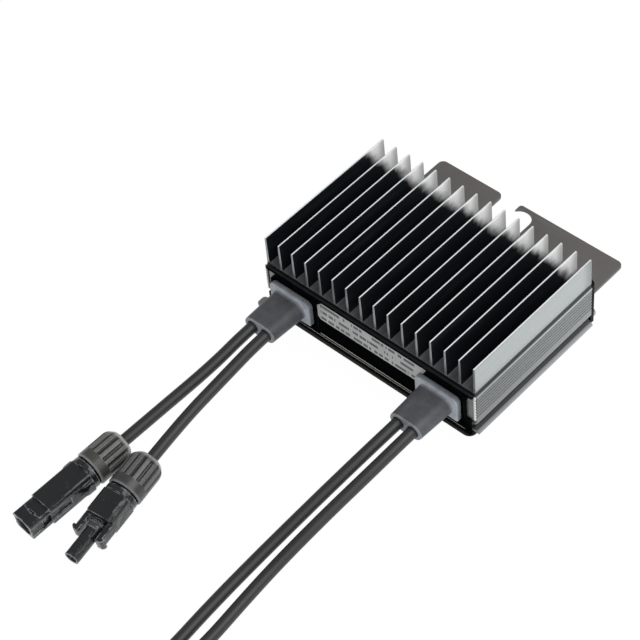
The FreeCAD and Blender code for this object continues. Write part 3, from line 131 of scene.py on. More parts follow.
def coil_route(centre, radius, hand, leave, sway, kind):
    """Wind the unseen length of an output lead and lead it on into its connector.

    Two turns shrink by one diameter each on the ground, the lead climbs one diameter along
    the inner turn, and two turns grow again on top. The tail leaves along the tangent and
    ends in the connector's nut.
    """
    outer = radius + LEAD_DIAMETER
    start = 0.0 if hand > 0 else math.pi
    end = math.radians(leave) + (-2 * math.pi if hand > 0 else 2 * math.pi)
    whole = abs(end - start) / (2 * math.pi) + COIL_TURNS
    steps = round(whole * POINTS_PER_TURN)
    turn = np.linspace(0.0, whole, steps + 1)
    angle = start - hand * 2 * math.pi * turn
    inward = np.minimum(np.minimum(turn, whole - turn), TURNS_PER_LAYER)
    reach = outer - LEAD_DIAMETER * inward
    climb = np.clip((turn - TURNS_PER_LAYER) / (whole - 2 * TURNS_PER_LAYER), 0.0, 1.0)
    height = REST_Z + LEAD_DIAMETER * climb
    turns = np.stack([centre[0] + reach * np.cos(angle),
                      centre[1] + reach * np.sin(angle), height], axis=1)
    entry = (centre[0] + hand * outer, centre[1] + COIL_STUB)
    way_in = [(entry[0], entry[1] + COIL_RUN_IN, REST_Z), (entry[0], entry[1], REST_Z)]
    last = math.radians(leave)
    away = Vector((hand * math.sin(last), -hand * math.cos(last), 0.0))
    foot = Vector((centre[0] + outer * math.cos(last), centre[1] + outer * math.sin(last),
                   1.5 * LEAD_DIAMETER))
    tail = foot + away * COIL_STUB
    bend = Matrix.Rotation(math.radians(sway), 3, "Z")
    first = tail + away * TAIL_STRAIGHT
    nut = first + bend @ away * TAIL_REACH
    ahead = bend @ bend @ away
    lay = lay_of(kind, (nut.x, nut.y), math.degrees(math.atan2(ahead.y, ahead.x)))
    way_out = [tuple(tail), tuple(first), along(lay, -TAIL_NUT_RUN), along(lay, LEAD_END)]
    return way_in + [tuple(point) for point in turns] + way_out, lay


LAYS = {
    "input_a": lay_of("socket", (-55.1, -151.2), -93.9),
    "input_b": lay_of("plug", (-37.4, -150.7), -82.9),
}
ROUTES = {
    "input_a": gland_exit(-1, -1) + [
        (-50.9, -96.0, 15.8), along(LAYS["input_a"], -INPUT_NUT_RUN),
        along(LAYS["input_a"], LEAD_END)],
    "input_b": gland_exit(-1, 1) + [
        (-42.1, -96.0, 15.6), along(LAYS["input_b"], -INPUT_NUT_RUN),
        along(LAYS["input_b"], LEAD_END)],
}
coil_a, LAYS["output_a"] = coil_route((0.0, -303.0), 30.0, 1, 42.0, 6.0, "plug")
coil_b, LAYS["output_b"] = coil_route((85.0, -264.0), 33.0, -1, 4.0, -3.0, "socket")
ROUTES["output_a"] = gland_exit(1, -1) + [
    (38.9, -95.0, 16.6), (36.3, -122.0, 11.0), (34.0, -156.0, 5.0), (34.3, -186.0, REST_Z),
    (36.6, -214.0, REST_Z), (37.0, -237.0, REST_Z)] + coil_a
ROUTES["output_b"] = gland_exit(1, 1) + [
    (47.4, -95.0, 16.1), (44.9, -124.0, 10.9), (43.1, -153.0, 5.4), (43.8, -177.0, REST_Z),
    (46.0, -199.0, REST_Z)] + coil_b
CONNECTORS = {"input_a": "socket", "input_b": "plug", "output_a": "plug", "output_b": "socket"}
LEAD_NODES = {
    "input_a": ["input_lead_a"],
    "input_b": ["input_lead_b"],
    "output_a": ["output_lead_a", "output_lead_a_coil", "output_lead_a_tail"],
    "output_b": ["output_lead_b", "output_lead_b_coil", "output_lead_b_tail"],
}


# Settings that a user would change

class StudioSettings(bpy.types.PropertyGroup):
    """Camera and light of the studio."""

    camera_place: bpy.props.FloatVectorProperty(
        name="Camera place", description="Where the camera stands", size=3,
        default=(0.4694, -0.5056, 0.8012), subtype="TRANSLATION", unit="LENGTH")
    camera_turn: bpy.props.FloatVectorProperty(
        name="Camera turn", description="Camera rotation about X, Y and Z", size=3,
        default=(math.radians(40.751), math.radians(4.201), math.radians(42.379)),
        subtype="EULER", unit="ROTATION")
    lens: bpy.props.FloatProperty(
        name="Lens", description="Focal length on a 36 mm sensor", default=123.8, min=1.0,
        unit="CAMERA")
    world_light: bpy.props.FloatProperty(
        name="World light", description="Strength of the soft light all round", default=0.34,
        min=0.0)
    key_power: bpy.props.FloatProperty(
        name="Key light", description="Power of the large lamp above", default=6.5, min=0.0,
        unit="POWER")


class FinishSettings(bpy.types.PropertyGroup):
    """Colours of the finishes."""

    bare_metal: bpy.props.FloatVectorProperty(
        name="Bare aluminium", description="Ribbed sides and outer fins", size=4,
        default=(0.52, 0.552, 0.558, 1.0), subtype="COLOR", min=0.0, max=1.0)
    # The fin faces' colour is painted shade between the fins
    fin_shade: bpy.props.FloatVectorProperty(
        name="Fin faces", description="Dark polished faces between the fins", size=4,
        default=(0.010, 0.0125, 0.015, 1.0), subtype="COLOR", min=0.0, max=1.0)
    plate: bpy.props.FloatVectorProperty(
        name="Steel plate", description="Brushed steel of the hooked plate", size=4,
        default=(0.195, 0.184, 0.177, 1.0), subtype="COLOR", min=0.0, max=1.0)
    moulding: bpy.props.FloatVectorProperty(
        name="Black moulding", description="Plastic of the tray, panel and chips", size=4,
        default=(0.0058, 0.0066, 0.0075, 1.0), subtype="COLOR", min=0.0, max=1.0)
    connector: bpy.props.FloatVectorProperty(
        name="Connector plastic", description="Blue-black plastic of the connector bodies",
        size=4, default=(0.0120, 0.0142, 0.0165, 1.0), subtype="COLOR", min=0.0, max=1.0)
    gland: bpy.props.FloatVectorProperty(
        name="Gland rubber", description="Grey rubber of the glands", size=4,
        default=(0.080, 0.086, 0.094, 1.0), subtype="COLOR", min=0.0, max=1.0)
    jacket: bpy.props.FloatVectorProperty(
        name="Lead jacket", description="Outer jacket of the leads", size=4,
        default=(0.0250, 0.0254, 0.0268, 1.0), subtype="COLOR", min=0.0, max=1.0)


def studio():
    """Give the studio's settings."""
    return bpy.context.scene.optimizer_studio


def finishes():
    """Give the colours of the finishes."""
    return bpy.context.scene.optimizer_finishes


# Node building

class Recipe:
    """A material's node tree with short calls for the nodes that the finishes use."""

    def __init__(self, name):
        self.material = bpy.data.materials.new(name)
        self.material.use_nodes = True
        self.tree = self.material.node_tree
        self.tree.nodes.clear()
        self.output = self.tree.nodes.new("ShaderNodeOutputMaterial")
        self.place = self.tree.nodes.new("ShaderNodeTexCoord").outputs["Object"]

    def put(self, socket, value):
        """Link a socket to another, or set its value."""
        if isinstance(value, bpy.types.NodeSocket):
            self.tree.links.new(value, socket)
        else:
            socket.default_value = value

    def math(self, operation, first, second=0.0, third=0.0, clamp=False):
        """Work out a number from up to three others."""
        node = self.tree.nodes.new("ShaderNodeMath")
        node.operation = operation
        node.use_clamp = clamp
        for socket, value in zip(node.inputs, (first, second, third)):
            self.put(socket, value)
        return node.outputs[0]

    def step(self, value, low, high):
        """Rise smoothly from 0 at low to 1 at high."""
        node = self.tree.nodes.new("ShaderNodeMapRange")
        node.interpolation_type = "SMOOTHSTEP"
        self.put(node.inputs["Value"], value)
        self.put(node.inputs["From Min"], low)
        self.put(node.inputs["From Max"], high)
        return node.outputs["Result"]

    def band(self, value, low, high, edge):
        """Give 1 between low and high, with edges that fade inwards."""
        return self.product(self.step(value, low, low + edge),
                            self.fall(value, high - edge, high))

    def fall(self, value, low, high):
        """Fall smoothly from 1 at low to 0 at high."""
        return self.math("SUBTRACT", 1.0, self.step(value, low, high))

    def product(self, first, *others):
        """Multiply patterns."""
        for other in others:
            first = self.math("MULTIPLY", first, other)
        return first

    def highest(self, first, *others):
        """Give the highest of several patterns."""
        for other in others:
            first = self.math("MAXIMUM", first, other)
        return first

    def tune(self, value, gain, base):
        """Multiply a pattern by a gain and add a base."""
        return self.math("MULTIPLY_ADD", value, gain, base)

    def ripple(self, value, first, pitch):
        """Give the distance to the nearest line of a row of lines."""
        return self.math("PINGPONG", self.math("SUBTRACT", value, first), pitch / 2)

    def scale(self, vector, x, y, z):
        """Stretch the coordinates of a pattern."""
        node = self.tree.nodes.new("ShaderNodeMapping")
        self.put(node.inputs["Vector"], vector)
        node.inputs["Scale"].default_value = (x, y, z)
        return node.outputs["Vector"]

    def point(self, x, y):
        """Make coordinates for a flat pattern."""
        node = self.tree.nodes.new("ShaderNodeCombineXYZ")
        self.put(node.inputs["X"], x)
        self.put(node.inputs["Y"], y)
        return node.outputs[0]

    def attribute(self, name):
        """Read a value that the mesh carries."""
        node = self.tree.nodes.new("ShaderNodeAttribute")
        node.attribute_name = name
        return node.outputs["Fac"]

    def split(self, vector):
        """Give the three parts of a vector."""
        node = self.tree.nodes.new("ShaderNodeSeparateXYZ")
        self.put(node.inputs[0], vector)
        return node.outputs

    def normal(self):
        """Give the three parts of the surface's direction."""
        node = self.tree.nodes.new("ShaderNodeNewGeometry")
        return self.split(node.outputs["Normal"])

    def edges(self, radius):
        """Give 1 along the piece's sharp edges, within a radius in metres.

        There the direction of a surface with rounded edges departs from the plain one.
        """
        soft = self.tree.nodes.new("ShaderNodeBevel")
        soft.samples = 6
        soft.inputs["Radius"].default_value = radius
        plain = self.tree.nodes.new("ShaderNodeNewGeometry")
        match = self.tree.nodes.new("ShaderNodeVectorMath")
        match.operation = "DOT_PRODUCT"
        self.put(match.inputs[0], soft.outputs["Normal"])
        self.put(match.inputs[1], plain.outputs["Normal"])
        return self.fall(match.outputs["Value"], 0.80, 0.97)

    def noise(self, vector, size, detail=2.0, roughness=0.5):
        """Give a cloud pattern with features of a size in metres."""
        node = self.tree.nodes.new("ShaderNodeTexNoise")
        self.put(node.inputs["Vector"], vector)
        node.inputs["Scale"].default_value = 1.0 / size
        node.inputs["Detail"].default_value = detail
        node.inputs["Roughness"].default_value = roughness
        return node.outputs["Fac"]

    def cells(self, vector, size):
        """Give the distance to scattered points that lie a size in metres apart."""
        node = self.tree.nodes.new("ShaderNodeTexVoronoi")
        self.put(node.inputs["Vector"], vector)
        node.inputs["Scale"].default_value = 1.0 / size
        return node.outputs["Distance"]

    def mix(self, factor, first, second):
        """Blend two colours."""
        node = self.tree.nodes.new("ShaderNodeMix")
        node.data_type = "RGBA"
        self.put(node.inputs["Factor"], factor)
        self.put(node.inputs["A"], first)
        self.put(node.inputs["B"], second)
        return node.outputs["Result"]

    def shade(self, colour, factor):
        """Multiply a colour by a grey factor."""
        node = self.tree.nodes.new("ShaderNodeVectorMath")
        node.operation = "SCALE"
        if not isinstance(colour, bpy.types.NodeSocket):
            colour = tuple(colour)[:3]
        self.put(node.inputs["Vector"], colour)
        self.put(node.inputs["Scale"], factor)
        return node.outputs["Vector"]

    def relief(self, height, depth, normal=None):
        """Turn a pattern into bumps of a depth in metres."""
        node = self.tree.nodes.new("ShaderNodeBump")
        node.inputs["Strength"].default_value = 1.0
        node.inputs["Distance"].default_value = depth
        self.put(node.inputs["Height"], height)
        if normal is not None:
            self.put(node.inputs["Normal"], normal)
        return node.outputs["Normal"]

    def surface(self, colour, roughness, metallic=0.0, normal=None, **constants):
        """Finish the material with one shader."""
        node = self.tree.nodes.new("ShaderNodeBsdfPrincipled")
        self.put(node.inputs["Base Color"], colour)
        self.put(node.inputs["Roughness"], roughness)
        self.put(node.inputs["Metallic"], metallic)
        if normal is not None:
            self.put(node.inputs["Normal"], normal)
        for name, value in constants.items():
            label = name.replace("_", " ").title().replace("Ior", "IOR")
            node.inputs[label].default_value = value
        self.tree.links.new(node.outputs[0], self.output.inputs["Surface"])
        return self.material


def grey(value):
    """Make a colour without a tint."""
    return (value, value, value, 1.0)


# Finishes

def wall_shades(look, y, z, across):
    """Paint shade on the side walls at their step, in their grooves, on their ribs and at their
    waist, and darker low towards the front and high at the back.

    Gives the painted shade to multiply the metal by, the painted shade lines alone, the lip, and
    the lip's own painted shade.
    """
    step_z, grooved_z = (0.0307, 0.0339), (0.0157, 0.0296)
    waist_z, ribbed_z = (0.0060, 0.0089), (0.0110, 0.0294)
    # Painted shade: dark lines at the step, in the grooves and at the waist, and shade on the lip
    step_shade = look.product(look.band(z, *step_z, 0.0004), 0.86)
    groove = look.ripple(z, FIRST_GROOVE * MM, GROOVE_PITCH * MM)
    grooves = look.product(look.band(z, *grooved_z, 0.0002),
                           look.fall(groove, 0.0002, 0.0007), 0.70)
    waist = look.product(look.band(z, *waist_z, 0.0006), 0.86)
    lines = look.highest(step_shade, waist, grooves)
    lip = look.fall(z, 0.0060, 0.0066)
    lip_shade = look.product(lip, look.tune(look.step(z, 0.0052, 0.0068), 0.50, 0.20))
    shadow = look.product(look.highest(lines, lip_shade), look.step(across, 0.0600, 0.0610))
    # Painted shade over the ribbed stretch
    ribs = look.product(look.band(z, *ribbed_z, 0.0004), 0.36)
    shade = look.math("SUBTRACT", 1.0, look.highest(shadow, ribs))
    # Painted shade: darker low down towards the front and high up at the back
    to_front = look.product(look.fall(z, 0.0305, 0.0340), look.fall(y, -0.045, 0.030))
    to_back = look.product(look.step(z, 0.033, 0.035), look.step(y, 0.034, 0.042))
    shade = look.product(shade, look.tune(to_front, -0.22, 1.0), look.tune(to_back, -0.35, 1.0))
    return shade, lines, lip, lip_shade


def fin_reflections(look, y, z, fin_number):
    """Give the painted reflections: pale patches at the fins' back ends, which reach furthest at
    the top.
    """
    wander = look.product(look.math("SINE", look.product(fin_number, 2.4)), 0.0012)
    slant = look.product(look.math("SUBTRACT", z, FIN_TOP * MM), 0.62)
    cloud = look.noise(look.scale(look.place, 0.6, 1.0, 1.0), 0.007, 2.0)
    back = look.math("ADD", wander, look.tune(
        look.math("SUBTRACT", cloud, 0.5), 0.007, look.math("ADD", y, slant)))
    end_fade = look.tune(look.step(y, 0.0355, 0.0415), -0.50, 1.0)
    return look.product(look.step(back, 0.0265, 0.0335), end_fade, look.step(z, 0.0335, 0.0400))


def extruded_aluminium():
    """Bare extrusion: satin sides with die lines and painted shade, channels painted dark as
    shade with painted reflections, and painted highlights on the lip and fin tops.
    """
    look = Recipe("extruded_aluminium")
    x, y, z = look.split(look.place)
    nx, ny, nz = look.normal()
    across = look.math("ABSOLUTE", x)
    channel = look.product(look.step(z, 0.0322, 0.0330), look.fall(across, 0.06325, 0.0635))
    fin_face = look.product(channel, look.step(look.math("ABSOLUTE", nx), 0.45, 0.7))
    deck = look.product(look.step(nz, 0.7, 0.9), look.band(z, 0.0319, 0.0338, 0.0008))
    front = look.product(look.step(z, 0.0325, 0.0330),
                         look.step(look.math("ABSOLUTE", ny), 0.6, 0.8))
    die_lines = look.noise(look.scale(look.place, 1.0, 0.01, 1.0), 0.00045, 3.0)
    wide_lines = look.noise(look.scale(look.place, 1.0, 0.02, 1.0), 0.004, 2.0)
    tone = look.tune(look.math("ADD", die_lines, wide_lines), 0.22, 0.78)

    shade, lines, lip, lip_shade = wall_shades(look, y, z, across)
    bare = look.shade(finishes().bare_metal, look.product(tone, shade))
    # Painted highlight: the lip is mixed towards pale grey, less where its painted shade lies
    lip_highlight = look.math("MULTIPLY", lip, look.math("SUBTRACT", 0.45, lip_shade), clamp=True)
    bare = look.mix(lip_highlight, bare, (0.50, 0.51, 0.51, 1.0))

    from_edge = look.math("ADD", x, FIN_ROW_EDGE * MM)
    fin_number = look.math("FLOOR", look.math("DIVIDE", from_edge, FIN_PITCH * MM))
    from_fin = look.math("SUBTRACT", from_edge, look.tune(
        fin_number, FIN_PITCH * MM, FIN_PITCH / 2 * MM))
    # The faces between the fins are painted dark as shade, with streaks of painted sheen
    sheen = look.noise(look.scale(look.place, 1.0, 0.12, 1.0), 0.006, 3.0)
    sheen = look.product(look.step(sheen, 0.50, 0.78), 0.020)
    face = look.mix(sheen, finishes().fin_shade, (0.5, 0.55, 0.6, 1.0))
    # Painted reflections at the fins' back ends
    face = look.mix(fin_reflections(look, y, z, fin_number), face, (1.0, 1.0, 1.0, 1.0))
    colour = look.mix(fin_face, bare, face)

    # Painted shade on the deck between the fins, lighter towards the open front
    foot = look.noise(look.scale(look.place, 1.0, 0.15, 1.0), 0.003, 2.0)
    floor = look.shade((0.060, 0.062, 0.068, 1.0), look.product(
        look.tune(foot, 1.1, 0.45), look.tune(look.step(y, -0.040, -0.012), -1.0, 2.0)))
    foot_line = look.product(look.band(from_fin, 0.0010, 0.0016, 0.0002), 0.7)
    floor = look.mix(foot_line, floor, (0.17, 0.17, 0.175, 1.0))
    colour = look.mix(deck, colour, floor)
    colour = look.mix(front, colour, look.shade((0.36, 0.36, 0.37, 1.0), tone))
    # Painted highlight along the fin tops
    crest_highlight = look.product(look.step(z, 0.0489, 0.0493),
                         look.band(from_fin, -0.00048, 0.00034, 0.00012))
    colour = look.mix(crest_highlight, colour, (0.97, 1.0, 1.0, 1.0))

    dull = look.math("MAXIMUM", look.highest(fin_face, deck, crest_highlight, lip),
                     look.product(lines, 1.25), clamp=True)
    rough = look.tune(die_lines, 0.16, look.tune(lip, 0.2, 0.30))
    return look.surface(colour, rough, look.tune(dull, -0.58, 0.6),
                        look.relief(die_lines, 0.00001), specular_ior_level=0.1)


def brushed_steel():
    """Warm grey steel with short brushing lines and a cloudy tone; its front ear is paler."""
    look = Recipe("brushed_steel")
    _, y, _ = look.split(look.place)
    brushing = look.noise(look.scale(look.place, 0.03, 1.0, 1.0), 0.0003, 3.0)
    cloud = look.noise(look.place, 0.014, 3.0)
    tone = look.tune(brushing, 0.30, look.tune(cloud, 0.22, 0.74))
    ear = look.fall(y, -0.0360, -0.0330)
    colour = look.mix(ear, look.shade(finishes().plate, tone),
                      look.shade((0.40, 0.355, 0.32, 1.0), tone))
    return look.surface(colour, look.tune(brushing, 0.2, 0.36), 0.35,
                        look.relief(brushing, 0.00001))


def moulded_black(name, roughness, grain_depth, wear_and_highlight=0.0, shine=0.03):
    """Black moulded plastic with a fine grain; worn pieces get grey scuffs that also serve as
    painted glints, and painted highlights along their edges.
    """
    look = Recipe(name)
    grain = look.noise(look.place, 0.0005, 3.0)
    flow = look.noise(look.scale(look.place, 1.0, 0.5, 1.0), 0.012, 3.0)
    # Grey scuffs, partly painted glints
    scuffs_and_glints = look.step(look.noise(look.place, 0.0022, 4.0, 0.65), 0.60, 0.74)
    base = finishes().connector if wear_and_highlight else finishes().moulding
    colour = look.shade(base, look.tune(flow, 0.9, 0.55))
    colour = look.mix(look.product(scuffs_and_glints, wear_and_highlight), colour, grey(0.16))
    bumps = look.relief(grain, grain_depth)
    if wear_and_highlight:
        # Painted highlights along the edges, in patches
        polished = look.step(look.noise(look.place, 0.0045, 3.0, 0.6), 0.38, 0.60)
        edge = look.product(look.edges(0.0012), polished, 0.8)
        colour = look.mix(edge, colour, (0.62, 0.67, 0.72, 1.0))
        bumps = look.relief(look.noise(look.place, 0.0035, 3.0), 0.0006, bumps)
    return look.surface(colour, look.tune(flow, 0.14, roughness - 0.07), 0.0, bumps,
                        specular_ior_level=shine)


def panel_black():
    """Half-gloss black of the front panel, with painted highlights along its ledges, top faces
    and rims.
    """
    look = Recipe("panel_black")
    x, y, z = look.split(look.place)
    _, _, nz = look.normal()
    swirl = look.noise(look.place, 0.006, 5.0, 0.6)
    fine = look.noise(look.place, 0.0004, 2.0)
    colour = look.shade(finishes().moulding, look.tune(swirl, 0.8, 0.1))
    # Painted highlights: bright lines along the window's and the field's ledges
    window_ledge = look.band(z, 0.00798, 0.00830, 0.00005)
    field_ledge = look.product(look.band(z, 0.00640, 0.00660, 0.00004), 0.7)
    ledge_highlight = look.product(look.highest(window_ledge, field_ledge),
                         look.band(x, -0.0590, 0.0600, 0.0020), look.fall(y, -0.04430, -0.04418))
    colour = look.mix(ledge_highlight, colour, (0.90, 0.86, 0.78, 1.0))
    # Painted highlight on the upward faces of the top
    top_highlight = look.product(look.step(nz, 0.6, 0.9), look.step(z, 0.0290, 0.0300))
    colour = look.mix(top_highlight, colour, (0.022, 0.026, 0.031, 1.0))
    # Painted highlights along the rims' edges, in patches
    rim_highlights = look.product(look.edges(0.0003), look.step(swirl, 0.30, 0.60),
                        look.step(z, 0.0086, 0.0092), 0.4)
    colour = look.mix(rim_highlights, colour, (0.10, 0.105, 0.11, 1.0))
    return look.surface(colour, look.tune(swirl, 0.25, 0.22), 0.0,
                        look.relief(fine, 0.000004), specular_ior_level=0.0)


def gland_rubber():
    """Grey rubber with a cloudy, slightly dusty surface; the flange is a paler blue grey, with
    painted light making its front faces paler still.
    """
    look = Recipe("gland_rubber")
    _, y, _ = look.split(look.place)
    _, ny, _ = look.normal()
    dust = look.noise(look.place, 0.0012, 4.0, 0.6)
    cloud = look.noise(look.place, 0.006, 2.0)
    tone = look.tune(dust, 0.6, look.tune(cloud, 0.9, 0.28))
    # Painted light: the flange's faces that look to the front are paler than its top and sides
    front_light = look.step(look.product(ny, -1.0), 0.5, 0.9)
    flange = look.product(look.step(y, -0.0490, -0.0472), look.tune(front_light, 0.6, 0.4))
    rim = look.fall(y, -0.0681, -0.0671)
    pale = look.highest(flange, look.product(rim, 0.6))
    colour = look.mix(pale, look.shade(finishes().gland, tone),
                      look.shade((0.52, 0.56, 0.62, 1.0), tone))
    return look.surface(colour, look.tune(dust, 0.2, 0.42), 0.0, look.relief(dust, 0.00004))


def lead_jacket():
    """Satin black jacket with soft lengthwise streaks and a little dust."""
    look = Recipe("lead_jacket")
    streak = look.noise(look.scale(look.place, 1.0, 0.05, 1.0), 0.0018, 2.0)
    cloud = look.noise(look.place, 0.02, 2.0)
    dust = look.step(look.noise(look.place, 0.003, 4.0, 0.6), 0.62, 0.80)
    tone = look.tune(streak, 0.4, look.tune(cloud, 0.5, 0.5))
    colour = look.mix(look.product(dust, 0.25), look.shade(finishes().jacket, tone), grey(0.06))
    return look.surface(colour, look.tune(streak, 0.10, 0.40), 0.0,
                        look.relief(streak, 0.000004), specular_ior_level=0.6)


def worn_highlit_nut(name, wear_and_highlight, warm):
    """Dark nut plastic, worn grey on its ridges, with painted highlights on the ridges' edges and
    the crown, and speckled between them.
    """
    look = Recipe(name)
    raised = look.attribute("raised")
    specks = look.noise(look.place, 0.0007, 4.0, 0.7)
    patch = look.noise(look.place, 0.004, 3.0)
    dark = look.shade((0.016, 0.0165, 0.0175 * (1 - warm / 4), 1.0), look.tune(patch, 0.7, 0.65))
    pale = (0.52, 0.518 - 0.012 * warm, 0.515 - 0.035 * warm, 1.0)
    # Pale grey where the mesh carries worn ribs, the mouth's rim and painted highlights
    colour = look.mix(look.product(raised, look.step(specks, 0.15, 0.55), wear_and_highlight), dark, pale)
    return look.surface(colour, look.tune(specks, 0.15, 0.24), 0.0, look.relief(specks, 0.00002))


def bare_foil():
    """Silver-grey label foil with plain ruled bars in rows and no writing."""
    look = Recipe("bare_foil")
    x, _, z = look.split(look.place)
    label_foot, row_height = 0.018, 0.0041
    row = look.math("DIVIDE", look.math("SUBTRACT", z, label_foot), row_height)
    row_number = look.math("FLOOR", row)
    in_row = look.band(look.math("FRACT", row), 0.22, 0.74, 0.08)
    spread = look.point(look.tune(row_number, 0.0371, x), look.product(row_number, 0.0123))
    long_bars = look.step(look.noise(spread, 0.0060, 0.0), 0.38, 0.40)
    gaps = look.step(look.noise(spread, 0.0016, 0.0), 0.40, 0.44)
    bars = look.product(in_row, long_bars, gaps, look.band(x, -0.0290, 0.0325, 0.0005), 0.92)
    cloud = look.noise(look.place, 0.008, 3.0)
    foil = look.shade((0.50, 0.51, 0.51, 1.0), look.tune(cloud, 0.6, 0.70))
    return look.surface(look.mix(bars, foil, grey(0.02)), look.tune(cloud, 0.2, 0.30), 0.1)


def plain_rubber():
    """Matt dark rubber of the seals."""
    look = Recipe("seal_rubber")
    dust = look.noise(look.place, 0.0008, 3.0)
    colour = look.shade((0.012, 0.012, 0.013, 1.0), look.tune(dust, 0.8, 0.6))
    return look.surface(colour, 0.62, 0.0, look.relief(dust, 0.00003))


def screw_steel():
    """Bright steel with fine turning marks."""
    look = Recipe("screw_steel")
    turning = look.noise(look.place, 0.0006, 2.0)
    colour = look.shade((0.42, 0.42, 0.41, 1.0), look.tune(turning, 0.4, 0.8))
    return look.surface(colour, 0.32, 0.85, look.relief(turning, 0.00001))


def end_plate_aluminium():
    """Satin aluminium of the front plate, with bright cut teeth at its two sides."""
    look = Recipe("end_plate_aluminium")
    x, _, _ = look.split(look.place)
    cloud = look.noise(look.place, 0.005, 3.0)
    fine = look.noise(look.scale(look.place, 1.0, 1.0, 0.1), 0.0004, 2.0)
    tone = look.tune(cloud, 0.4, look.tune(fine, 0.2, 0.7))
    teeth = look.step(look.math("ABSOLUTE", x), 0.0638, 0.0641)
    colour = look.mix(teeth, look.shade((0.17, 0.172, 0.178, 1.0), tone), (0.80, 0.80, 0.78, 1.0))
    return look.surface(colour, 0.34, 0.3, look.relief(fine, 0.00001))


def tin_plate():
    """Bright tin of the contacts and terminals."""
    look = Recipe("tin_plate")
    cloud = look.noise(look.place, 0.002, 2.0)
    colour = look.shade((0.62, 0.61, 0.58, 1.0), look.tune(cloud, 0.3, 0.8))
    return look.surface(colour, 0.24, 0.95)


def lacquered_copper():
    """Copper wire with a lacquer and the lines of its turns."""
    look = Recipe("lacquered_copper")
    turns = look.noise(look.scale(look.place, 0.2, 0.2, 1.0), 0.0009, 1.0)
    colour = look.shade((0.46, 0.19, 0.09, 1.0), look.tune(turns, 0.8, 0.5))
    return look.surface(colour, 0.3, 0.8, look.relief(turns, 0.0001))


def board_laminate():
    """Green board with paler tracks under the lacquer."""
    look = Recipe("board_laminate")
    tracks = look.step(look.cells(look.place, 0.005), 0.35, 0.40)
    colour = look.mix(tracks, (0.010, 0.075, 0.030, 1.0), (0.018, 0.11, 0.045, 1.0))
    return look.surface(colour, 0.3, 0.0, look.relief(tracks, 0.00003))


def ferrite():
    """Grainy dark core material."""
    look = Recipe("ferrite")
    grain = look.noise(look.place, 0.0006, 4.0)
    colour = look.shade((0.045, 0.045, 0.048, 1.0), look.tune(grain, 0.8, 0.6))
    return look.surface(colour, 0.5, 0.2, look.relief(grain, 0.00005))


def silicone_pad():
    """Soft blue-grey pad that carries heat to the deck."""
    look = Recipe("silicone_pad")
    cloud = look.noise(look.place, 0.002, 3.0)
    colour = look.shade((0.22, 0.28, 0.36, 1.0), look.tune(cloud, 0.4, 0.8))
    return look.surface(colour, 0.6, 0.0, look.relief(cloud, 0.00005))


def capacitor_sleeve():
    """Dark blue sleeve with a bare metal end."""
    look = Recipe("capacitor_sleeve")
    _, _, z = look.split(look.place)
    cap = look.fall(z, 0.0090, 0.0092)
    fine = look.noise(look.place, 0.001, 2.0)
    sleeve = look.shade((0.014, 0.016, 0.05, 1.0), look.tune(fine, 0.5, 0.75))
    return look.surface(look.mix(cap, sleeve, (0.5, 0.5, 0.5, 1.0)), 0.28, look.product(cap, 0.9))


# Meshes

def place_piece(name, mesh, material, node):
    """Show a finished mesh in a node's place and let it ride on the body."""
    mesh.materials.clear()
    mesh.materials.append(material)
    mesh.shade_smooth()
    piece = bpy.data.objects.new(name, mesh)
    bpy.context.scene.collection.objects.link(piece)
    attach(piece, "root")
    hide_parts(node)
    return piece


def ring_faces(rings, around):
    """Join rings of points, and the last ring to the first, with four-sided faces."""
    ring = np.arange(rings)[:, None] * around
    next_ring = np.roll(ring, -1, axis=0)
    place = np.arange(around)[None, :]
    next_place = np.roll(place, -1, axis=1)
    faces = np.stack([ring + place, ring + next_place, next_ring + next_place,
                      next_ring + place], axis=-1)
    return faces.reshape(-1, 4).tolist()


def softened(node, material, width):
    """Copy a rigid solid's surface, join its loose triangles and break its sharp edges."""
    mesh = NODES[node].data.copy()
    mesh.name = f"{node}_surface"
    form = bmesh.new()
    form.from_mesh(mesh)
    bmesh.ops.remove_doubles(form, verts=form.verts, dist=MERGE_DISTANCE * MM)
    bmesh.ops.dissolve_limit(form, angle_limit=FLAT_ANGLE, verts=form.verts, edges=form.edges)
    form.to_mesh(mesh)
    form.free()
    piece = place_piece(f"{node}_surface", mesh, material, node)
    bevel = piece.modifiers.new("broken_edges", "BEVEL")
    bevel.width = width * MM
    bevel.segments = 2
    bevel.limit_method = "ANGLE"
    bevel.angle_limit = SHARP_ANGLE
    bevel.harden_normals = True


def dress(node, material):
    """Give a solid that keeps its own shape its finish."""
    solid = NODES[node]
    solid.data.materials.clear()
    solid.data.materials.append(material)


def rounded_profile(corners, bend, steps=5):
    """Round the corners of an open profile of (along, radius) points with short arcs.

    Each inner corner is replaced by points on a quadratic curve that starts and ends at a
    distance of bend from the corner, or a third of the shorter side where that is less.
    """
    corners = np.asarray(corners, float)
    points = [corners[0]]
    share = np.linspace(0.0, 1.0, steps)[:, None]
    rest = 1 - share
    for before, here, after in zip(corners[:-2], corners[1:-1], corners[2:]):
        back, ahead = before - here, after - here
        reach = min(bend, np.linalg.norm(back) / 3, np.linalg.norm(ahead) / 3)
        first = here + back / np.linalg.norm(back) * reach
        last = here + ahead / np.linalg.norm(ahead) * reach
        points.extend(rest ** 2 * first + 2 * share * rest * here + share ** 2 * last)
    points.append(corners[-1])
    return np.array(points)


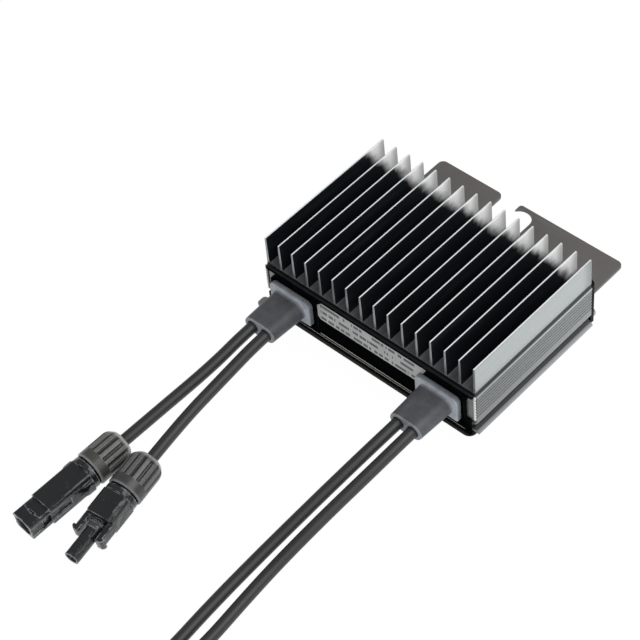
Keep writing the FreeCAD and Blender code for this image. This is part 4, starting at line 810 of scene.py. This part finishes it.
def clamp_nut(lead, material):
    """Fluted cap nut as one turned surface.

    The profile of (along, radius) points runs from the lead's entry over the dome and along the
    ribs to the plain ring, round its mouth and back along the bore, and is turned once round
    the axis. On the ribbed stretch the radius drops by the flute depth times a smooth step of
    a raised cosine with one wave per flute, so that flat-topped ribs stand between round
    flutes. The drop fades out over the dome and ends in a step before the ring. The attribute
    raised is high on the worn ribs' tops and on the mouth's rim, and carries painted highlights
    on the ribs' edges and the crown.
    """
    bore = LEAD_DIAMETER / 2 + 0.1
    outline = [
        (0.6, bore), (0.0, bore + 0.5), (0.0, NUT_RADIUS * 0.66), (1.2, NUT_RADIUS * 0.80),
        (2.8, NUT_RADIUS * 0.945), (4.4, NUT_RADIUS), (9.0, NUT_RADIUS), (14.2, NUT_RADIUS),
        (14.8, NUT_RADIUS), (19.5, NUT_RADIUS), (NUT_MOUTH, NUT_RADIUS - 0.6),
        (NUT_MOUTH, NUT_MOUTH_RADIUS), (12.0, NUT_MOUTH_RADIUS), (9.8, NUT_BORE),
        (3.2, NUT_BORE), (3.0, bore), (0.6, bore),
    ]
    profile = rounded_profile(outline, NUT_ROUNDING)
    dense = [profile[0]]
    for before, after in zip(profile[:-1], profile[1:]):
        pieces = max(1, int(np.ceil(np.linalg.norm(after - before) / NUT_GRID)))
        dense.extend(before + (after - before) * k / pieces for k in range(1, pieces + 1))
    profile = np.array(dense[:-1])
    around = FLUTES * POINTS_PER_FLUTE
    angle = np.linspace(0.0, 2 * math.pi, around, endpoint=False)
    along_axis, radius = profile[:, :1], profile[:, 1:]
    outside = (radius > 7.0) & (along_axis < FLUTES_END + 0.3)
    wave = 0.5 + 0.5 * np.cos(FLUTES * angle)[None, :]
    flute = np.clip((wave - 0.52) / 0.28, 0.0, 1.0)
    flute = flute * flute * (3 - 2 * flute)
    rise = np.clip((along_axis - 1.0) / 1.6, 0.0, 1.0)
    stop = np.clip((FLUTES_END - along_axis) / 0.35, 0.0, 1.0)
    depth = FLUTE_DEPTH * flute * rise * stop * outside
    reach = radius - depth
    points = np.stack([np.broadcast_to(along_axis, reach.shape), reach * np.cos(angle),
                       reach * np.sin(angle)], axis=-1).reshape(-1, 3)
    lay = np.array(LAYS[lead])
    points = (points @ lay[:3, :3].T + lay[:3, 3]) * MM
    mesh = bpy.data.meshes.new(f"{lead}_fluted_nut")
    mesh.from_pydata(points.tolist(), [], ring_faces(len(profile), around))
    mesh.update()
    raised = mesh.attributes.new("raised", "FLOAT", "POINT")
    ridge = np.clip(1.0 - depth / 0.5, 0.0, 1.0) * (radius > 7.0) * (along_axis > 0.5)
    edge = np.exp(-((flute - 0.22) / 0.20) ** 2) * outside
    crown = np.exp(-((along_axis - 0.9) / 0.9) ** 2) * (radius > 4.5) * np.ones_like(ridge)
    rim = np.exp(-((along_axis - NUT_MOUTH + 0.3) / 0.5) ** 2) * (radius > 8.0)
    rim = rim * np.ones_like(ridge)
    # Worn ribs' tops, the mouth's rim, and painted highlights on the ribs' edges and the crown
    wear_and_highlight = ridge * 0.12 + edge * 0.80 + crown + rim * 0.6
    raised.data.foreach_set("value", np.clip(wear_and_highlight, 0.0, 1.0).ravel())
    face_outwards(mesh)
    place_piece(f"{lead}_fluted_nut", mesh, material, f"{lead}_clamp_nut")


def face_outwards(mesh):
    """Turn all faces outwards."""
    form = bmesh.new()
    form.from_mesh(mesh)
    bmesh.ops.recalc_face_normals(form, faces=form.faces)
    form.to_mesh(mesh)
    form.free()


# Operators

class OPTIMIZER_OT_studio(bpy.types.Operator):
    """Set the camera at the photograph's angle, with a pale floor and soft light"""

    bl_idname = "optimizer.studio"
    bl_label = "Studio"

    def execute(self, context):
        scene = context.scene
        settings = studio()
        lens = bpy.data.cameras.new("studio_camera")
        lens.lens = settings.lens
        lens.sensor_width = 36.0
        lens.clip_start = 0.05
        lens.clip_end = 20.0
        camera = bpy.data.objects.new("studio_camera", lens)
        camera.location = settings.camera_place
        camera.rotation_euler = settings.camera_turn
        scene.collection.objects.link(camera)
        scene.camera = camera
        scene.view_settings.view_transform = "Standard"
        self.surroundings(scene, settings.world_light)
        self.lamp("key_lamp", (0.55, 0.35, 0.9), (0.0, 0.0, 0.0), 0.9, settings.key_power)
        self.lamp("side_lamp", (0.9, -0.25, 0.35), (0.05, 0.0, 0.02), 0.5,
                  settings.key_power * 0.16)
        self.lamp("fill_lamp", (-0.15, -1.0, 0.55), (0.0, -0.05, 0.02), 0.8,
                  settings.key_power * 0.22)
        self.floor(scene)
        return {"FINISHED"}

    def surroundings(self, scene, light):
        """Light the scene softly all round, from a world that the camera sees as white."""
        world = bpy.data.worlds.new("studio_world")
        world.use_nodes = True
        scene.world = world
        nodes, links = world.node_tree.nodes, world.node_tree.links
        nodes.clear()
        output = nodes.new("ShaderNodeOutputWorld")
        path = nodes.new("ShaderNodeLightPath")
        seen = nodes.new("ShaderNodeMath")
        seen.operation = "MAXIMUM"
        links.new(path.outputs["Is Camera Ray"], seen.inputs[0])
        links.new(path.outputs["Is Transmission Ray"], seen.inputs[1])
        strength = nodes.new("ShaderNodeMapRange")
        strength.inputs["To Min"].default_value = light
        strength.inputs["To Max"].default_value = 1.0
        links.new(seen.outputs[0], strength.inputs["Value"])
        white = nodes.new("ShaderNodeBackground")
        white.inputs["Color"].default_value = (1.0, 1.0, 1.0, 1.0)
        links.new(strength.outputs["Result"], white.inputs["Strength"])
        links.new(white.outputs[0], output.inputs["Surface"])

    def lamp(self, name, place, target, width, power):
        """Hang a large soft lamp that looks at a target."""
        light = bpy.data.lights.new(name, "AREA")
        light.energy = power
        light.size = width
        lamp = bpy.data.objects.new(name, light)
        lamp.location = place
        aim = Vector(target) - Vector(place)
        lamp.rotation_euler = aim.to_track_quat("-Z", "Y").to_euler()
        bpy.context.scene.collection.objects.link(lamp)

    def floor(self, scene):
        """Lay a pale floor that the camera sees as white."""
        look = Recipe("pale_floor")
        path = look.tree.nodes.new("ShaderNodeLightPath")
        seen = look.math("MAXIMUM", path.outputs["Is Camera Ray"],
                         path.outputs["Is Glossy Ray"], clamp=True)
        glow = look.tree.nodes.new("ShaderNodeEmission")
        glow.inputs["Strength"].default_value = 1.03
        plain = look.tree.nodes.new("ShaderNodeBsdfDiffuse")
        plain.inputs["Color"].default_value = (0.85, 0.85, 0.85, 1.0)
        blend = look.tree.nodes.new("ShaderNodeMixShader")
        look.put(blend.inputs["Fac"], look.math("MULTIPLY", seen, 0.95))
        look.tree.links.new(plain.outputs[0], blend.inputs[1])
        look.tree.links.new(glow.outputs[0], blend.inputs[2])
        look.tree.links.new(blend.outputs[0], look.output.inputs["Surface"])
        mesh = bpy.data.meshes.new("pale_floor")
        reach, level = 3.0, -0.0002
        mesh.from_pydata([(-reach, -reach, level), (reach, -reach, level),
                          (reach, reach, level), (-reach, reach, level)], [], [(0, 1, 2, 3)])
        mesh.materials.append(look.material)
        floor = bpy.data.objects.new("pale_floor", mesh)
        scene.collection.objects.link(floor)


class OPTIMIZER_OT_leads(bpy.types.Operator):
    """Lay the four leads along their routes"""

    bl_idname = "optimizer.leads"
    bl_label = "Leads"

    def execute(self, context):
        jacket = lead_jacket()
        for lead, route in ROUTES.items():
            curve = bpy.data.curves.new(f"{lead}_lead", "CURVE")
            curve.dimensions = "3D"
            curve.bevel_depth = LEAD_DIAMETER / 2 * MM
            curve.bevel_resolution = 8
            curve.resolution_u = 12
            curve.use_fill_caps = True
            spline = curve.splines.new("NURBS")
            spline.points.add(len(route) - 1)
            for point, place in zip(spline.points, route):
                point.co = (place[0] * MM, place[1] * MM, place[2] * MM, 1.0)
            spline.order_u = 3
            spline.use_endpoint_u = True
            curve.materials.append(jacket)
            cord = bpy.data.objects.new(f"{lead}_lead", curve)
            context.scene.collection.objects.link(cord)
            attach(cord, "root")
            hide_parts(*LEAD_NODES[lead])
        return {"FINISHED"}


class OPTIMIZER_OT_metal(bpy.types.Operator):
    """Finish the heat sink, the hooked plate, the end plate and the screws"""

    bl_idname = "optimizer.metal"
    bl_label = "Metal parts"

    def execute(self, context):
        softened("heat_sink", extruded_aluminium(), 0.12)
        softened("mounting_plate", brushed_steel(), 0.2)
        softened("front_end_plate", end_plate_aluminium(), 0.08)
        steel = screw_steel()
        dress("plate_screws", steel)
        softened("rear_cover_screws", steel, 0.3)
        return {"FINISHED"}


class OPTIMIZER_OT_mouldings(bpy.types.Operator):
    """Finish the tray, the panels, the seals and the bare label"""

    bl_idname = "optimizer.mouldings"
    bl_label = "Moulded parts"

    def execute(self, context):
        tray = moulded_black("tray_plastic", 0.45, 0.00004)
        softened("housing_tray", tray, 0.3)
        softened("rear_cover", tray, 0.3)
        dress("front_bezel", panel_black())
        rubber = plain_rubber()
        for node in ("front_seal", "rear_seal", "lid_seal"):
            dress(node, rubber)
        dress("rating_label", bare_foil())
        return {"FINISHED"}


class OPTIMIZER_OT_glands(bpy.types.Operator):
    """Finish the two double cable glands"""

    bl_idname = "optimizer.glands"
    bl_label = "Cable glands"

    def execute(self, context):
        rubber = gland_rubber()
        for node in ("input_gland", "output_gland"):
            softened(node, rubber, 0.3)
        return {"FINISHED"}


class OPTIMIZER_OT_connectors(bpy.types.Operator):
    """Make the fluted nuts and finish the connector bodies, seals and contacts"""

    bl_idname = "optimizer.connectors"
    bl_label = "Lead connectors"

    def execute(self, context):
        nuts = {
            "socket": worn_highlit_nut("rubbed_nut", 0.95, 0.6),
            "plug": worn_highlit_nut("smooth_nut", 0.75, 0.0),
        }
        body = moulded_black("connector_plastic", 0.22, 0.00002, wear_and_highlight=0.22, shine=0.6)
        rubber = plain_rubber()
        tin = tin_plate()
        for lead, kind in CONNECTORS.items():
            clamp_nut(lead, nuts[kind])
            softened(f"{lead}_{kind}_body", body, 0.3)
            dress(f"{lead}_lead_seal", rubber)
            dress(f"{lead}_contact", tin)
        return {"FINISHED"}


class OPTIMIZER_OT_circuit(bpy.types.Operator):
    """Finish the circuit inside the housing"""

    bl_idname = "optimizer.circuit"
    bl_label = "Circuit"

    def execute(self, context):
        copper = lacquered_copper()
        tin = tin_plate()
        black = moulded_black("chip_plastic", 0.4, 0.00001)
        sleeve = capacitor_sleeve()
        dress("circuit_board", board_laminate())
        dress("power_inductor_core", ferrite())
        dress("power_inductor_winding", copper)
        dress("gap_pad", silicone_pad())
        dress("control_chip", black)
        for index in range(1, 5):
            dress(f"power_transistor_{index}", black)
        for kind in ("input", "output"):
            for index in (1, 2):
                dress(f"{kind}_capacitor_{index}", sleeve)
            for letter in ("a", "b"):
                dress(f"{kind}_conductor_{letter}", copper)
                dress(f"{kind}_terminal_{letter}", tin)
        return {"FINISHED"}


class OPTIMIZER_PT_sidebar(bpy.types.Panel):
    """Lists the steps and the settings"""

    bl_label = "Power optimizer"
    bl_space_type = "VIEW_3D"
    bl_region_type = "UI"
    bl_category = "Optimizer"

    def draw(self, context):
        for step in STEPS:
            self.layout.operator(step.bl_idname)
        for group in (studio(), finishes()):
            for name in group.__annotations__:
                self.layout.prop(group, name)


STEPS = (
    OPTIMIZER_OT_studio,
    OPTIMIZER_OT_leads,
    OPTIMIZER_OT_metal,
    OPTIMIZER_OT_mouldings,
    OPTIMIZER_OT_glands,
    OPTIMIZER_OT_connectors,
    OPTIMIZER_OT_circuit,
)
CLASSES = (StudioSettings, FinishSettings, *STEPS, OPTIMIZER_PT_sidebar)


def register():
    for item in CLASSES:
        bpy.utils.register_class(item)
    bpy.types.Scene.optimizer_studio = bpy.props.PointerProperty(type=StudioSettings)
    bpy.types.Scene.optimizer_finishes = bpy.props.PointerProperty(type=FinishSettings)


def unregister():
    del bpy.types.Scene.optimizer_finishes
    del bpy.types.Scene.optimizer_studio
    for item in reversed(CLASSES):
        bpy.utils.unregister_class(item)


def main():
    """Run every step in order."""
    register()
    for step in STEPS:
        group, name = step.bl_idname.split(".")
        getattr(getattr(bpy.ops, group), name)()


if __name__ == "__main__":
    main()
